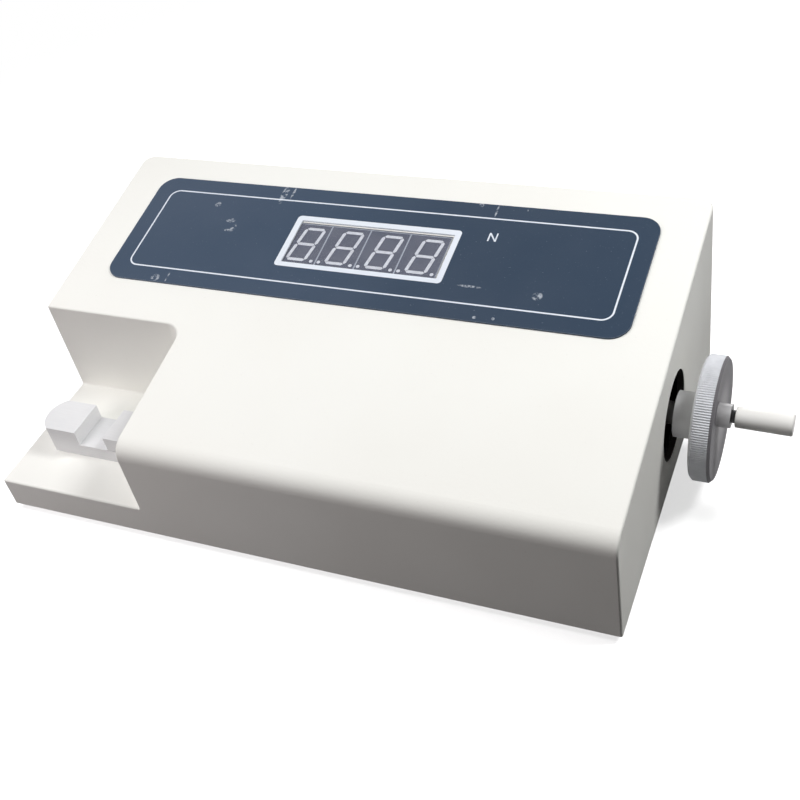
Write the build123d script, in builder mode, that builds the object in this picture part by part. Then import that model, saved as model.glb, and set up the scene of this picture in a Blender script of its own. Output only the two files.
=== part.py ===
from build123d import *
import os
from math import atan2, cos, pi, radians, sin, tan

os.makedirs("parts", exist_ok=True)

# ---------------------------------------------------------------- driving sizes (mm)
# Housing: a moulded shell with an upright front, one sloped top and an open tablet bay
case_length = 300.0
case_depth = 178.0
back_height = 85.5
front_corner_height = 55.0
wall = 3.0
front_bend_radius = 8.5
back_corner_radius = 6.0
edge_radius = 1.0
bay_length = 78.5
bay_depth = 70.0
bay_corner_radius = 9.0
platform_height = 16.0
boss_radius = 4.5
boss_inset = 7.0

# Underside: a flat plate inside the shell's skirt, on four rubber feet
plate_thickness = 2.0
foot_height = 4.0
foot_radius = 8.0
foot_inset = 22.0
foot_recess = 2.4
foot_taper = 6.0

# Control panel: places run along the housing from its left end, and up the slope
overlay_start = 21.0
overlay_low = 94.2
overlay_length = 260.0
overlay_width = 70.4
overlay_corner = 9.0
overlay_thickness = 0.8
window_start = 110.6
window_low = 115.8
window_length = 79.1
window_width = 27.4
digit_count = 4
digit_pitch = 20.4
digit_height = 27.6
digit_body = 8.0
digits_start = 106.9
digits_low = 114.6
board_thickness = 1.6
board_margin = 9.0
board_screw_inset = 4.0
post_radius = 3.0

# Jaws: the anvil bar lies on the bay's floor, and the moving jaw slides above it
jaw_front = 24.0
jaw_width = 19.7
anvil_start = 15.7
anvil_block_length = 16.7
anvil_nose = 5.0
bar_height = 7.3
jaw_height = 15.3
bar_end = 140.0
tablet_gap = 16.0
opening_travel = 12.5
flange_start = 104.0
flange_thickness = 6.0
flange_top = 48.0
slot_margin = 1.0
support_start = 95.0

# Load cell: a beam across the housing, from the moving jaw's flange to the carriage
cell_section = 12.7
cell_length = 80.0
cell_front = 27.0
cell_height = 40.0
cell_hole_radius = 4.8
cell_hole_spacing = 18.0
cell_slot_width = 2.5
cell_screw_ends = (5.0, 20.0)

# Lead screw drive
screw_depth = 94.0
screw_height = 33.5
thread_radius = 6.0
journal_radius = 5.0
side_hole_radius = 20.0
side_hole_offset = (-1.0, -0.5)
carriage_length = 39.0
carriage_width = 44.0
carriage_low = 12.5
carriage_top = 50.0
nut_radius = 9.0
nut_length = 20.0
nut_flange_radius = 13.5
nut_flange_thickness = 5.0
rod_radius = 4.0
rod_edge = 8.0
rod_height = 20.0
guide_bush_radius = 6.0
guide_bush_length = 12.0
rail_start = 92.0
rail_thickness = 6.0
end_block_length = 8.0
end_block_top = 26.0
bearing_block_start = 255.0
bearing_block_length = 28.0
bearing_block_top = 52.0
bush_radius = 8.0
bush_length = 12.0
bush_flange_radius = 10.0
bush_flange_thickness = 2.0
collar_radius = 10.0
collar_length = 8.0

# Handwheel and crank
hub_start = 301.0
hub_radius = 10.0
rim_start = 310.6
rim_width = 8.9
rim_radius = 26.9
rim_chamfer = 1.2
flute_count = 160
flute_depth = 0.4
shaft_depth_in_rim = 4.5
crank_throw = 14.7
crank_angle = 127.5
crank_collar_radius = 5.0
crank_collar_length = 5.5
crank_neck_radius = 2.7
crank_neck_length = 1.6
crank_shank_radius = 2.2
crank_stud_radius = 3.0
crank_stud_length = 6.0
grip_radius = 4.35
grip_flare = 0.75
grip_length = 22.6
grip_end_wall = 4.0
grip_edge_radius = 0.7

# Back wall: mains inlet, rocker switch and fuse holder
fitting_height = 32.0
inlet_place = 40.0
inlet_flange = (48.0, 22.0, 2.5)
inlet_body = (27.0, 20.0, 24.0)
inlet_socket = (24.0, 17.0, 16.0)
inlet_chamfer = 4.0
inlet_screw_spacing = 40.0
pin_section = (2.0, 4.0)
pin_spread = 7.0
pin_offset = 2.0
pin_drop = 2.0
pin_tail = 6.0
switch_place = 84.0
switch_bezel = (15.0, 21.0, 2.0)
switch_body = (13.0, 19.0, 16.0)
switch_mouth = (10.8, 16.4, 6.0)
rocker_swing_radius = 7.9
rocker_crown = 3.4
rocker_valley = 2.0
rocker_base = 1.5
rocker_lift = 1.0
rocker_tilt = 9.0
rocker_pin_radius = 1.2
rocker_pin_length = 0.9
fuse_place = 112.0
fuse_body_radius = 6.0
fuse_body_length = 30.0
fuse_flange_radius = 8.0
fuse_flange_thickness = 2.0
fuse_cap_radius = 6.5
fuse_cap_length = 8.0
fuse_slot = (8.0, 1.2, 1.2)
fuse_nut_radius = 9.0
fuse_nut_thickness = 3.0

# Electronics
main_board_start = 150.0
main_board_length = 100.0
board_clearance = 1.0
board_post_height = 6.0
microcontroller = (52.0, 14.0, 4.0)
display_driver = (19.0, 7.0, 3.6)
capacitor_radius = 6.5
capacitor_height = 16.0
capacitor_spacing = 15.0
transformer_place = (50.0, 112.0)
core_size = (54.0, 45.0, 20.0)
core_window = (9.0, 27.0)
core_leg = 18.0
winding_depth = 38.0
clamp_thickness = 1.2
clamp_ear = 11.0
ribbon_start = 158.0
ribbon_width = 20.0
ribbon_thickness = 1.0
ribbon_bend_radius = 6.0
ribbon_step = 10.0
connector_size = (24.0, 8.0, 7.0)

# Screws: head radius, head height, shank radius
small_screw = (2.75, 2.0, 1.5)
cell_screw = (3.5, 4.0, 2.0)
tapping_screw = (3.3, 2.0, 1.5)
nut_screw = (2.2, 2.0, 1.5)
support_screw_insets = (5.5, 15.0)

# Clearances: a seated fit, a running fit, and free room between moving pieces
fit = 0.1
running = 0.08
gap = 0.3

# ---------------------------------------------------------------- places worked out from them
rim_face = rim_start + rim_width
grip_start = rim_face + crank_collar_length + crank_neck_length
overall_length = grip_start + grip_length
overall_depth = case_depth + fuse_cap_length
left = -overall_length / 2
front = -overall_depth / 2
back = front + case_depth
base = foot_height
floor = base + plate_thickness
platform = base + platform_height
rail_top = floor + rail_thickness
slope = atan2(back_height - front_corner_height, case_depth)
screw_y = front + screw_depth
screw_z = base + screw_height
flange_end = flange_start + flange_thickness
carriage_start = flange_end + cell_section
carriage_end = carriage_start + carriage_length
rod_spacing = carriage_width - 2 * rod_edge
nut_screw_circle = (nut_radius + nut_flange_radius) / 2
main_board_front = screw_depth + carriage_width / 2 + board_clearance
main_board_width = case_depth - boss_inset - boss_radius - board_clearance - main_board_front
block_end = bearing_block_start + bearing_block_length
rail_end = block_end
crank_y = screw_y + crank_throw * cos(radians(crank_angle))
crank_z = screw_z + crank_throw * sin(radians(crank_angle))

slope_plane = Plane(
    origin=(left, front, base + front_corner_height),
    x_dir=(1, 0, 0),
    z_dir=(0, -sin(slope), cos(slope)),
)
under_plane = Plane(origin=(left, front, base), x_dir=(1, 0, 0), z_dir=(0, 0, -1))
back_plane = Plane(origin=(left, back, base), x_dir=(-1, 0, 0), z_dir=(0, 1, 0))


def across(place):
    """The plane square to the housing's length, at a place from its left end."""
    return Plane(origin=(left + place, 0, 0), x_dir=(0, 1, 0), z_dir=(1, 0, 0))


def on_screw(place):
    """A plane square to the lead screw, with its origin on the screw's axis."""
    return Plane(origin=(left + place, screw_y, screw_z), x_dir=(0, 1, 0), z_dir=(1, 0, 0))


def on_crank(place):
    """A plane square to the crank pin, with its origin on the pin's axis."""
    return Plane(origin=(left + place, crank_y, crank_z), x_dir=(0, 1, 0), z_dir=(1, 0, 0))


def under_screw(place, drop):
    """A plane that faces down, at a drop below the lead screw's axis."""
    return Plane(origin=(left + place, screw_y, screw_z - drop), x_dir=(1, 0, 0), z_dir=(0, 0, -1))


def level(height):
    """The level plane at a height, with its origin over the housing's front left corner."""
    return Plane(origin=(left, front, height), x_dir=(1, 0, 0), z_dir=(0, 0, 1))


def roof(depth):
    """Height of the sloped top at a depth behind the front face."""
    return base + front_corner_height + depth * tan(slope)


def top_front(points):
    """The highest of the points nearest the front of a side outline."""
    return points.group_by(Axis.X)[0].sort_by(Axis.Y)[-1]


def far_corner(points):
    """The point of a plan outline that is furthest right and back."""
    return points.group_by(Axis.X)[-1].sort_by(Axis.Y)[-1]


def screw_group(plane, spots, size, length):
    """Screws whose heads stand on the plane and whose shanks run into what lies under it."""
    head_radius, head_height, shank_radius = size
    with BuildPart() as group:
        with BuildSketch(plane):
            with Locations(*spots):
                Circle(head_radius)
        extrude(amount=head_height)
        with BuildSketch(plane):
            with Locations(*spots):
                Circle(shank_radius)
        extrude(amount=-length)
    return group.part


# ---------------------------------------------------------------- places of the fasteners
boss_spots = [
    (place, depth)
    for place in (boss_inset, case_length / 2, case_length - boss_inset)
    for depth in (boss_inset, case_depth - boss_inset)
]
foot_spots = [
    (place, depth)
    for place in (foot_inset, case_length - foot_inset)
    for depth in (foot_inset, case_depth - foot_inset)
]
bar_middle = jaw_front + jaw_width / 2
bar_screw_inset, block_screw_inset = support_screw_insets
anvil_screw_spots = [
    (support_start + bar_screw_inset, bar_middle),
    (bar_end - bar_screw_inset, bar_middle),
]
frame_screw_spots = [
    (rail_start + end_block_length / 2, screw_depth - rod_spacing / 2),
    (rail_start + end_block_length / 2, screw_depth + rod_spacing / 2),
    (bearing_block_start + bearing_block_length / 2, screw_depth - rod_spacing / 2),
    (bearing_block_start + bearing_block_length / 2, screw_depth + rod_spacing / 2),
    (support_start + block_screw_inset, bar_middle),
    (bar_end - block_screw_inset, bar_middle),
]
frame_screw_length = 12.0
main_board_spots = [
    (main_board_start + x, main_board_front + y)
    for x in (board_screw_inset, main_board_length - board_screw_inset)
    for y in (board_screw_inset, main_board_width - board_screw_inset)
]
clamp_spots = [
    (transformer_place[0] - core_size[0] / 2 - clamp_ear / 2, transformer_place[1]),
    (transformer_place[0] + core_size[0] / 2 + clamp_ear / 2, transformer_place[1]),
]
cell_back = cell_front + cell_length
front_cell_spots = [(front + cell_front + end, base + cell_height) for end in cell_screw_ends]
back_cell_spots = [(front + cell_back - end, base + cell_height) for end in cell_screw_ends]
rod_spots = [(screw_y - rod_spacing / 2, base + rod_height), (screw_y + rod_spacing / 2, base + rod_height)]

# ---------------------------------------------------------------- cover shell
# The space inside the shell, stepped back above and behind the tablet bay
with BuildPart() as cavity:
    with BuildSketch(across(wall)):
        drop = wall / cos(slope)
        with BuildLine():
            Polyline(
                (front + wall, base - wall),
                (front + wall, roof(wall) - drop),
                (back - wall, roof(case_depth - wall) - drop),
                (back - wall, base - wall),
                close=True,
            )
        make_face()
        fillet(top_front(vertices()), front_bend_radius - wall)
    extrude(amount=case_length - 2 * wall)
    fillet(edges().filter_by(Axis.Z).group_by(Axis.Y)[-1], back_corner_radius - wall)
    with BuildSketch(level(platform - wall)):
        Rectangle(bay_length + wall, bay_depth + wall, align=(Align.MIN, Align.MIN))
        fillet(far_corner(vertices()), bay_corner_radius + wall)
    extrude(amount=back_height, mode=Mode.SUBTRACT)

# The shell itself, open below, with the bay cut down to its platform
with BuildPart() as cover_shell:
    with BuildSketch(across(0)):
        with BuildLine():
            Polyline(
                (front, base),
                (front, roof(0)),
                (back, roof(case_depth)),
                (back, base),
                close=True,
            )
        make_face()
        fillet(top_front(vertices()), front_bend_radius)
    extrude(amount=case_length)
    fillet(edges().filter_by(Axis.Z).group_by(Axis.Y)[-1], back_corner_radius)
    with BuildSketch(level(platform)):
        Rectangle(bay_length, bay_depth, align=(Align.MIN, Align.MIN))
        fillet(far_corner(vertices()), bay_corner_radius)
    extrude(amount=back_height, mode=Mode.SUBTRACT)
    fillet(edges().filter_by_position(Axis.Z, base + 1, base + back_height), edge_radius)
    add(cavity.part, mode=Mode.SUBTRACT)
    # bosses for the screws that hold the base plate
    with BuildSketch(level(floor)):
        with Locations(*boss_spots):
            Circle(boss_radius)
    extrude(amount=platform_height - plate_thickness - wall / 2)
    with BuildSketch(level(floor)):
        with Locations(*boss_spots):
            Circle(tapping_screw[2] + fit)
    extrude(amount=platform_height - plate_thickness - wall, mode=Mode.SUBTRACT)
    # slot in the bay's side wall for the anvil bar and the moving jaw
    with BuildSketch(across(bay_length - edge_radius)):
        with Locations((front + jaw_front - slot_margin, platform)):
            Rectangle(jaw_width + 2 * slot_margin, jaw_height + slot_margin, align=(Align.MIN, Align.MIN))
    extrude(amount=edge_radius + wall, mode=Mode.SUBTRACT)
    # opening under the overlay for the digits
    with BuildSketch(slope_plane):
        with Locations((digits_start - gap, digits_low - gap)):
            Rectangle(
                digit_count * digit_pitch + 2 * gap,
                digit_height + 2 * gap,
                align=(Align.MIN, Align.MIN),
            )
    extrude(amount=-2 * wall, mode=Mode.SUBTRACT)
    # round hole that the screw's end comes out of, behind the handwheel
    with BuildSketch(on_screw(case_length)):
        with Locations(side_hole_offset):
            Circle(side_hole_radius)
    extrude(amount=-wall, mode=Mode.SUBTRACT)
    # cut-outs for the fittings in the back wall
    with BuildSketch(back_plane):
        with Locations((-inlet_place, fitting_height)):
            Rectangle(inlet_body[0] + 2 * gap, inlet_body[1] + 2 * gap)
        with Locations((-switch_place, fitting_height)):
            Rectangle(switch_body[0] + 2 * gap, switch_body[1] + 2 * gap)
        with Locations((-fuse_place, fitting_height)):
            Circle(fuse_body_radius + gap)
        with Locations(
            (-inlet_place - inlet_screw_spacing / 2, fitting_height),
            (-inlet_place + inlet_screw_spacing / 2, fitting_height),
        ):
            Circle(small_screw[2] + fit)
    extrude(amount=-wall, mode=Mode.SUBTRACT)
cover_shell.part.label = "cover_shell"
export_step(cover_shell.part, "parts/cover_shell.step")

# ---------------------------------------------------------------- base plate, feet and screws
with BuildPart() as base_plate:
    with BuildSketch(level(base)):
        with Locations((case_length / 2, case_depth / 2)):
            Rectangle(case_length - 2 * (wall + gap), case_depth - 2 * (wall + gap))
        fillet(vertices().group_by(Axis.Y)[-1], back_corner_radius - wall)
        with Locations(*boss_spots):
            Circle(tapping_screw[2] + fit, mode=Mode.SUBTRACT)
        with Locations(*(foot_spots + frame_screw_spots)):
            Circle(small_screw[2] + fit, mode=Mode.SUBTRACT)
        with Locations(*(main_board_spots + clamp_spots)):
            Circle(small_screw[2] + fit, mode=Mode.SUBTRACT)
    extrude(amount=plate_thickness)
base_plate.part.label = "base_plate"
export_step(base_plate.part, "parts/base_plate.step")

with BuildPart() as rubber_feet:
    with BuildSketch(under_plane):
        with Locations(*[(place, -depth) for place, depth in foot_spots]):
            Circle(foot_radius)
    extrude(amount=foot_height, taper=foot_taper)
    with BuildSketch(under_plane.offset(foot_height)):
        with Locations(*[(place, -depth) for place, depth in foot_spots]):
            Circle(small_screw[0] + gap)
    extrude(amount=-foot_recess, mode=Mode.SUBTRACT)
    with BuildSketch(under_plane):
        with Locations(*[(place, -depth) for place, depth in foot_spots]):
            Circle(small_screw[2] + fit)
    extrude(amount=foot_height, mode=Mode.SUBTRACT)
rubber_feet.part.label = "rubber_feet"
export_step(rubber_feet.part, "parts/rubber_feet.step")

nut_height = 2.4
nut_corner_radius = 3.1
feet_screws = screw_group(
    under_plane.offset(foot_height - foot_recess),
    [(place, -depth) for place, depth in foot_spots],
    small_screw,
    foot_height - foot_recess + plate_thickness + nut_height + gap,
)
feet_screws.label = "feet_screws"
export_step(feet_screws, "parts/feet_screws.step")

with BuildPart() as feet_nuts:
    with BuildSketch(level(floor)):
        with Locations(*foot_spots):
            RegularPolygon(nut_corner_radius, 6)
            Circle(small_screw[2] + fit, mode=Mode.SUBTRACT)
    extrude(amount=nut_height)
feet_nuts.part.label = "feet_nuts"
export_step(feet_nuts.part, "parts/feet_nuts.step")

base_screws = screw_group(
    under_plane,
    [(place, -depth) for place, depth in boss_spots],
    tapping_screw,
    plate_thickness + platform_height / 2,
)
base_screws.label = "base_screws"
export_step(base_screws, "parts/base_screws.step")

# ---------------------------------------------------------------- control panel
window_middle = (window_start + window_length / 2, window_low + window_width / 2)
with BuildPart() as panel_overlay:
    with BuildSketch(slope_plane):
        with Locations((overlay_start + overlay_length / 2, overlay_low + overlay_width / 2)):
            RectangleRounded(overlay_length, overlay_width, overlay_corner)
        with Locations(window_middle):
            Rectangle(window_length, window_width, mode=Mode.SUBTRACT)
    extrude(amount=overlay_thickness)
panel_overlay.part.label = "panel_overlay"
export_step(panel_overlay.part, "parts/panel_overlay.step")

with BuildPart() as display_window:
    with BuildSketch(slope_plane):
        with Locations(window_middle):
            Rectangle(window_length - 2 * fit, window_width - 2 * fit)
    extrude(amount=overlay_thickness)
display_window.part.label = "display_window"
export_step(display_window.part, "parts/display_window.step")

# Four digit packages side by side, their faces just under the overlay
digits_length = digit_count * digit_pitch
digits_middle = (digits_start + digits_length / 2, digits_low + digit_height / 2)
for number in range(digit_count):
    with BuildPart() as led_digit:
        with BuildSketch(slope_plane.offset(-gap)):
            with Locations((digits_start + (number + 0.5) * digit_pitch, digits_middle[1])):
                Rectangle(digit_pitch - fit, digit_height)
        extrude(amount=-digit_body)
    led_digit.part.label = f"led_digit_{number + 1}"
    export_step(led_digit.part, f"parts/led_digit_{number + 1}.step")

# Display board behind them, on posts under the shell's roof
display_board_size = (digits_length + 2 * board_margin, digit_height + 2 * board_margin)
display_board_top = slope_plane.offset(-gap - digit_body)
display_screw_spots = [
    (
        digits_middle[0] + side * (display_board_size[0] / 2 - board_screw_inset),
        digits_middle[1] + end * (display_board_size[1] / 2 - board_screw_inset),
    )
    for side in (-1, 1)
    for end in (-1, 1)
]
with BuildPart() as display_board:
    with BuildSketch(display_board_top):
        with Locations(digits_middle):
            Rectangle(*display_board_size)
        with Locations(*display_screw_spots):
            Circle(small_screw[2] + fit, mode=Mode.SUBTRACT)
    extrude(amount=-board_thickness)
display_board.part.label = "display_board"
export_step(display_board.part, "parts/display_board.step")

with BuildPart() as display_posts:
    with BuildSketch(display_board_top):
        with Locations(*display_screw_spots):
            Circle(post_radius)
            Circle(small_screw[2] + fit, mode=Mode.SUBTRACT)
    extrude(amount=gap + digit_body - wall)
display_posts.part.label = "display_posts"
export_step(display_posts.part, "parts/display_posts.step")

board_under = display_board_top.offset(-board_thickness)
under_board_plane = Plane(origin=board_under.origin, x_dir=board_under.x_dir, z_dir=-board_under.z_dir)
display_screws = screw_group(
    under_board_plane,
    [(x, -y) for x, y in display_screw_spots],
    small_screw,
    board_thickness + gap + digit_body - wall - fit,
)
display_screws.label = "display_screws"
export_step(display_screws, "parts/display_screws.step")

# ---------------------------------------------------------------- anvil bar and its support
anvil_end = anvil_start + anvil_block_length


def nosed_outline(end):
    """Plan of the anvil from its rounded left nose to a square right end."""
    with BuildSketch(level(platform)) as outline:
        with BuildLine():
            Polyline(
                (anvil_start, jaw_front),
                (end, jaw_front),
                (end, jaw_front + jaw_width),
                (anvil_start, jaw_front + jaw_width),
            )
            ThreePointArc(
                (anvil_start, jaw_front + jaw_width),
                (anvil_start - anvil_nose, bar_middle),
                (anvil_start, jaw_front),
            )
        make_face()
    return outline.sketch


with BuildPart() as anvil_bar:
    add(nosed_outline(bar_end))
    extrude(amount=bar_height)
    add(nosed_outline(anvil_end))
    extrude(amount=jaw_height)
    with Locations(*[(left + x, front + y, platform + bar_height) for x, y in anvil_screw_spots]):
        CounterBoreHole(cell_screw[2] + fit, cell_screw[0] + fit, cell_screw[1] + fit, depth=bar_height)
anvil_bar.part.label = "anvil_bar"
export_step(anvil_bar.part, "parts/anvil_bar.step")

anvil_screw_length = 9.0
with BuildPart() as anvil_support:
    with BuildSketch(level(floor)):
        with Locations((support_start, jaw_front)):
            Rectangle(bar_end - support_start, jaw_width, align=(Align.MIN, Align.MIN))
    extrude(amount=platform - floor)
    with BuildSketch(level(platform)):
        with Locations(*anvil_screw_spots):
            Circle(cell_screw[2] + fit)
    extrude(amount=-anvil_screw_length, mode=Mode.SUBTRACT)
    with BuildSketch(level(floor)):
        with Locations(*frame_screw_spots):
            Circle(small_screw[2] + fit)
    extrude(amount=frame_screw_length, mode=Mode.SUBTRACT)
anvil_support.part.label = "anvil_support"
export_step(anvil_support.part, "parts/anvil_support.step")

anvil_screws = screw_group(
    level(platform + bar_height - cell_screw[1] - fit),
    anvil_screw_spots,
    cell_screw,
    anvil_screw_length,
)
anvil_screws.label = "anvil_screws"
export_step(anvil_screws, "parts/anvil_screws.step")

# ---------------------------------------------------------------- moving jaw and load cell
jaw_face = anvil_end + tablet_gap
jaw_low = platform + bar_height + gap
with BuildPart() as moving_jaw:
    with BuildSketch(across(jaw_face)):
        with Locations((front + jaw_front, jaw_low)):
            Rectangle(jaw_width, platform + jaw_height - jaw_low, align=(Align.MIN, Align.MIN))
    extrude(amount=flange_end - jaw_face)
    with BuildSketch(across(flange_start)):
        with Locations((front + jaw_front, jaw_low)):
            Rectangle(
                cell_front + cell_screw_ends[1] + cell_screw[0] + 2 * gap - jaw_front,
                base + flange_top - jaw_low,
                align=(Align.MIN, Align.MIN),
            )
    extrude(amount=flange_thickness)
    with BuildSketch(across(flange_start)):
        with Locations(*front_cell_spots):
            Circle(cell_screw[2] + fit)
    extrude(amount=flange_thickness, mode=Mode.SUBTRACT)
moving_jaw.part.label = "moving_jaw"
export_step(moving_jaw.part, "parts/moving_jaw.step")

# The beam is thinned at its middle by two joined holes, so that it bends along the jaw's travel
with BuildPart() as load_cell:
    with BuildSketch(level(base + cell_height - cell_section / 2)):
        with Locations((flange_end, cell_front)):
            Rectangle(cell_section, cell_length, align=(Align.MIN, Align.MIN))
        with Locations((flange_end + cell_section / 2, cell_front + cell_length / 2)):
            Rectangle(cell_slot_width, cell_hole_spacing, mode=Mode.SUBTRACT)
            with GridLocations(0, cell_hole_spacing, 1, 2):
                Circle(cell_hole_radius, mode=Mode.SUBTRACT)
    extrude(amount=cell_section)
    with BuildSketch(across(flange_end)):
        with Locations(*(front_cell_spots + back_cell_spots)):
            Circle(cell_screw[2] + fit)
    extrude(amount=cell_section, mode=Mode.SUBTRACT)
load_cell.part.label = "load_cell"
export_step(load_cell.part, "parts/load_cell.step")


def facing_left(place):
    """The plane square to the housing's length that faces its left end."""
    return Plane(origin=(left + place, 0, 0), x_dir=(0, -1, 0), z_dir=(-1, 0, 0))


cell_screw_depth = 12.0
jaw_screws = screw_group(
    facing_left(flange_start),
    [(-y, z) for y, z in front_cell_spots],
    cell_screw,
    flange_thickness + cell_screw_depth,
)
jaw_screws.label = "jaw_screws"
export_step(jaw_screws, "parts/jaw_screws.step")

cell_screws = screw_group(
    facing_left(flange_end),
    [(-y, z) for y, z in back_cell_spots],
    cell_screw,
    cell_section + cell_screw_depth,
)
cell_screws.label = "cell_screws"
export_step(cell_screws, "parts/cell_screws.step")

# ---------------------------------------------------------------- slide carriage
# The screw's end stays clear of the load cell when the jaw is fully open
thread_start = carriage_start + opening_travel + 2.5
with BuildPart() as carriage:
    with BuildSketch(across(carriage_start)):
        with Locations((screw_y, base + (carriage_low + carriage_top) / 2)):
            Rectangle(carriage_width, carriage_top - carriage_low)
        with Locations((screw_y, screw_z)):
            Circle(thread_radius + 1.0, mode=Mode.SUBTRACT)
        with Locations(*rod_spots):
            Circle(guide_bush_radius + fit, mode=Mode.SUBTRACT)
    extrude(amount=carriage_length)
    with BuildSketch(on_screw(carriage_end)):
        Circle(nut_radius + fit)
    extrude(amount=-nut_length - fit, mode=Mode.SUBTRACT)
    with BuildSketch(on_screw(carriage_end)):
        with PolarLocations(nut_screw_circle, 4):
            Circle(small_screw[2] + fit)
    extrude(amount=-nut_length, mode=Mode.SUBTRACT)
    with BuildSketch(across(carriage_start)):
        with Locations(*back_cell_spots):
            Circle(cell_screw[2] + fit)
    extrude(amount=cell_screw_depth, mode=Mode.SUBTRACT)
carriage.part.label = "carriage"
export_step(carriage.part, "parts/carriage.step")

with BuildPart() as lead_nut:
    with BuildSketch(on_screw(carriage_end - nut_length)):
        Circle(nut_radius)
    extrude(amount=nut_length)
    with BuildSketch(on_screw(carriage_end)):
        Circle(nut_flange_radius)
        with PolarLocations(nut_screw_circle, 4):
            Circle(small_screw[2] + fit, mode=Mode.SUBTRACT)
    extrude(amount=nut_flange_thickness)
    with BuildSketch(on_screw(carriage_end - nut_length)):
        Circle(thread_radius + running)
    extrude(amount=nut_length + nut_flange_thickness, mode=Mode.SUBTRACT)
lead_nut.part.label = "lead_nut"
export_step(lead_nut.part, "parts/lead_nut.step")

nut_screw_spots = [
    (
        nut_screw_circle * cos(number * pi / 2),
        nut_screw_circle * sin(number * pi / 2),
    )
    for number in range(4)
]
nut_screws = screw_group(
    on_screw(carriage_end + nut_flange_thickness),
    nut_screw_spots,
    nut_screw,
    nut_flange_thickness + nut_length / 2,
)
nut_screws.label = "nut_screws"
export_step(nut_screws, "parts/nut_screws.step")

with BuildPart() as guide_bushes:
    for bush_start in (carriage_start, carriage_end - guide_bush_length):
        with BuildSketch(across(bush_start)):
            with Locations(*rod_spots):
                Circle(guide_bush_radius)
                Circle(rod_radius + running, mode=Mode.SUBTRACT)
        extrude(amount=guide_bush_length)
guide_bushes.part.label = "guide_bushes"
export_step(guide_bushes.part, "parts/guide_bushes.step")

# ---------------------------------------------------------------- mechanism frame
with BuildPart() as mechanism_rail:
    with BuildSketch(level(floor)):
        with Locations((rail_start, screw_depth - carriage_width / 2)):
            Rectangle(rail_end - rail_start, carriage_width, align=(Align.MIN, Align.MIN))
        with Locations(*frame_screw_spots):
            Circle(small_screw[2] + fit, mode=Mode.SUBTRACT)
    extrude(amount=rail_thickness)
mechanism_rail.part.label = "mechanism_rail"
export_step(mechanism_rail.part, "parts/mechanism_rail.step")

with BuildPart() as end_block:
    with BuildSketch(across(rail_start)):
        with Locations((screw_y, (rail_top + base + end_block_top) / 2)):
            Rectangle(carriage_width, base + end_block_top - rail_top)
        with Locations(*rod_spots):
            Circle(rod_radius + fit, mode=Mode.SUBTRACT)
    extrude(amount=end_block_length)
    with BuildSketch(level(rail_top)):
        with Locations(*frame_screw_spots):
            Circle(small_screw[2] + fit)
    extrude(amount=frame_screw_length - rail_thickness - plate_thickness, mode=Mode.SUBTRACT)
end_block.part.label = "end_block"
export_step(end_block.part, "parts/end_block.step")

with BuildPart() as bearing_block:
    with BuildSketch(across(bearing_block_start)):
        with Locations((screw_y, (rail_top + base + bearing_block_top) / 2)):
            Rectangle(carriage_width, base + bearing_block_top - rail_top)
        with Locations((screw_y, screw_z)):
            Circle(bush_radius + fit, mode=Mode.SUBTRACT)
        with Locations(*rod_spots):
            Circle(rod_radius + fit, mode=Mode.SUBTRACT)
    extrude(amount=bearing_block_length)
    with BuildSketch(level(rail_top)):
        with Locations(*frame_screw_spots):
            Circle(small_screw[2] + fit)
    extrude(amount=frame_screw_length - rail_thickness - plate_thickness, mode=Mode.SUBTRACT)
bearing_block.part.label = "bearing_block"
export_step(bearing_block.part, "parts/bearing_block.step")

with BuildPart() as guide_rods:
    with BuildSketch(across(rail_start)):
        with Locations(*rod_spots):
            Circle(rod_radius)
    extrude(amount=rail_end - rail_start)
guide_rods.part.label = "guide_rods"
export_step(guide_rods.part, "parts/guide_rods.step")

with BuildPart() as screw_bushes:
    for flange_place, body_place in (
        (bearing_block_start - bush_flange_thickness, bearing_block_start),
        (block_end, block_end - bush_length),
    ):
        with BuildSketch(on_screw(flange_place)):
            Circle(bush_flange_radius)
            Circle(journal_radius + running, mode=Mode.SUBTRACT)
        extrude(amount=bush_flange_thickness)
        with BuildSketch(on_screw(body_place)):
            Circle(bush_radius)
            Circle(journal_radius + running, mode=Mode.SUBTRACT)
        extrude(amount=bush_length)
screw_bushes.part.label = "screw_bushes"
export_step(screw_bushes.part, "parts/screw_bushes.step")

frame_screws = screw_group(
    under_plane,
    [(place, -depth) for place, depth in frame_screw_spots],
    small_screw,
    frame_screw_length,
)
frame_screws.label = "frame_screws"
export_step(frame_screws, "parts/frame_screws.step")

# ---------------------------------------------------------------- lead screw, collar and handwheel
shoulder = bearing_block_start - bush_flange_thickness - gap
collar_start = block_end + bush_flange_thickness + gap
shaft_end = rim_start + shaft_depth_in_rim
with BuildPart() as lead_screw:
    with BuildSketch(on_screw(thread_start)):
        Circle(thread_radius)
    extrude(amount=shoulder - thread_start)
    with BuildSketch(on_screw(shoulder)):
        Circle(journal_radius)
    extrude(amount=shaft_end - shoulder)
    chamfer(edges().group_by(Axis.X)[0], journal_radius / 5)
lead_screw.part.label = "lead_screw"
export_step(lead_screw.part, "parts/lead_screw.step")

set_screw_radius = 2.0
collar_screw_place = collar_start + collar_length / 2
hub_screw_place = (hub_start + rim_start) / 2
with BuildPart() as thrust_collar:
    with BuildSketch(on_screw(collar_start)):
        Circle(collar_radius)
        Circle(journal_radius + fit, mode=Mode.SUBTRACT)
    extrude(amount=collar_length)
    with BuildSketch(under_screw(collar_screw_place, 0)):
        Circle(set_screw_radius + fit)
    extrude(amount=collar_radius, mode=Mode.SUBTRACT)
thrust_collar.part.label = "thrust_collar"
export_step(thrust_collar.part, "parts/thrust_collar.step")

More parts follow.
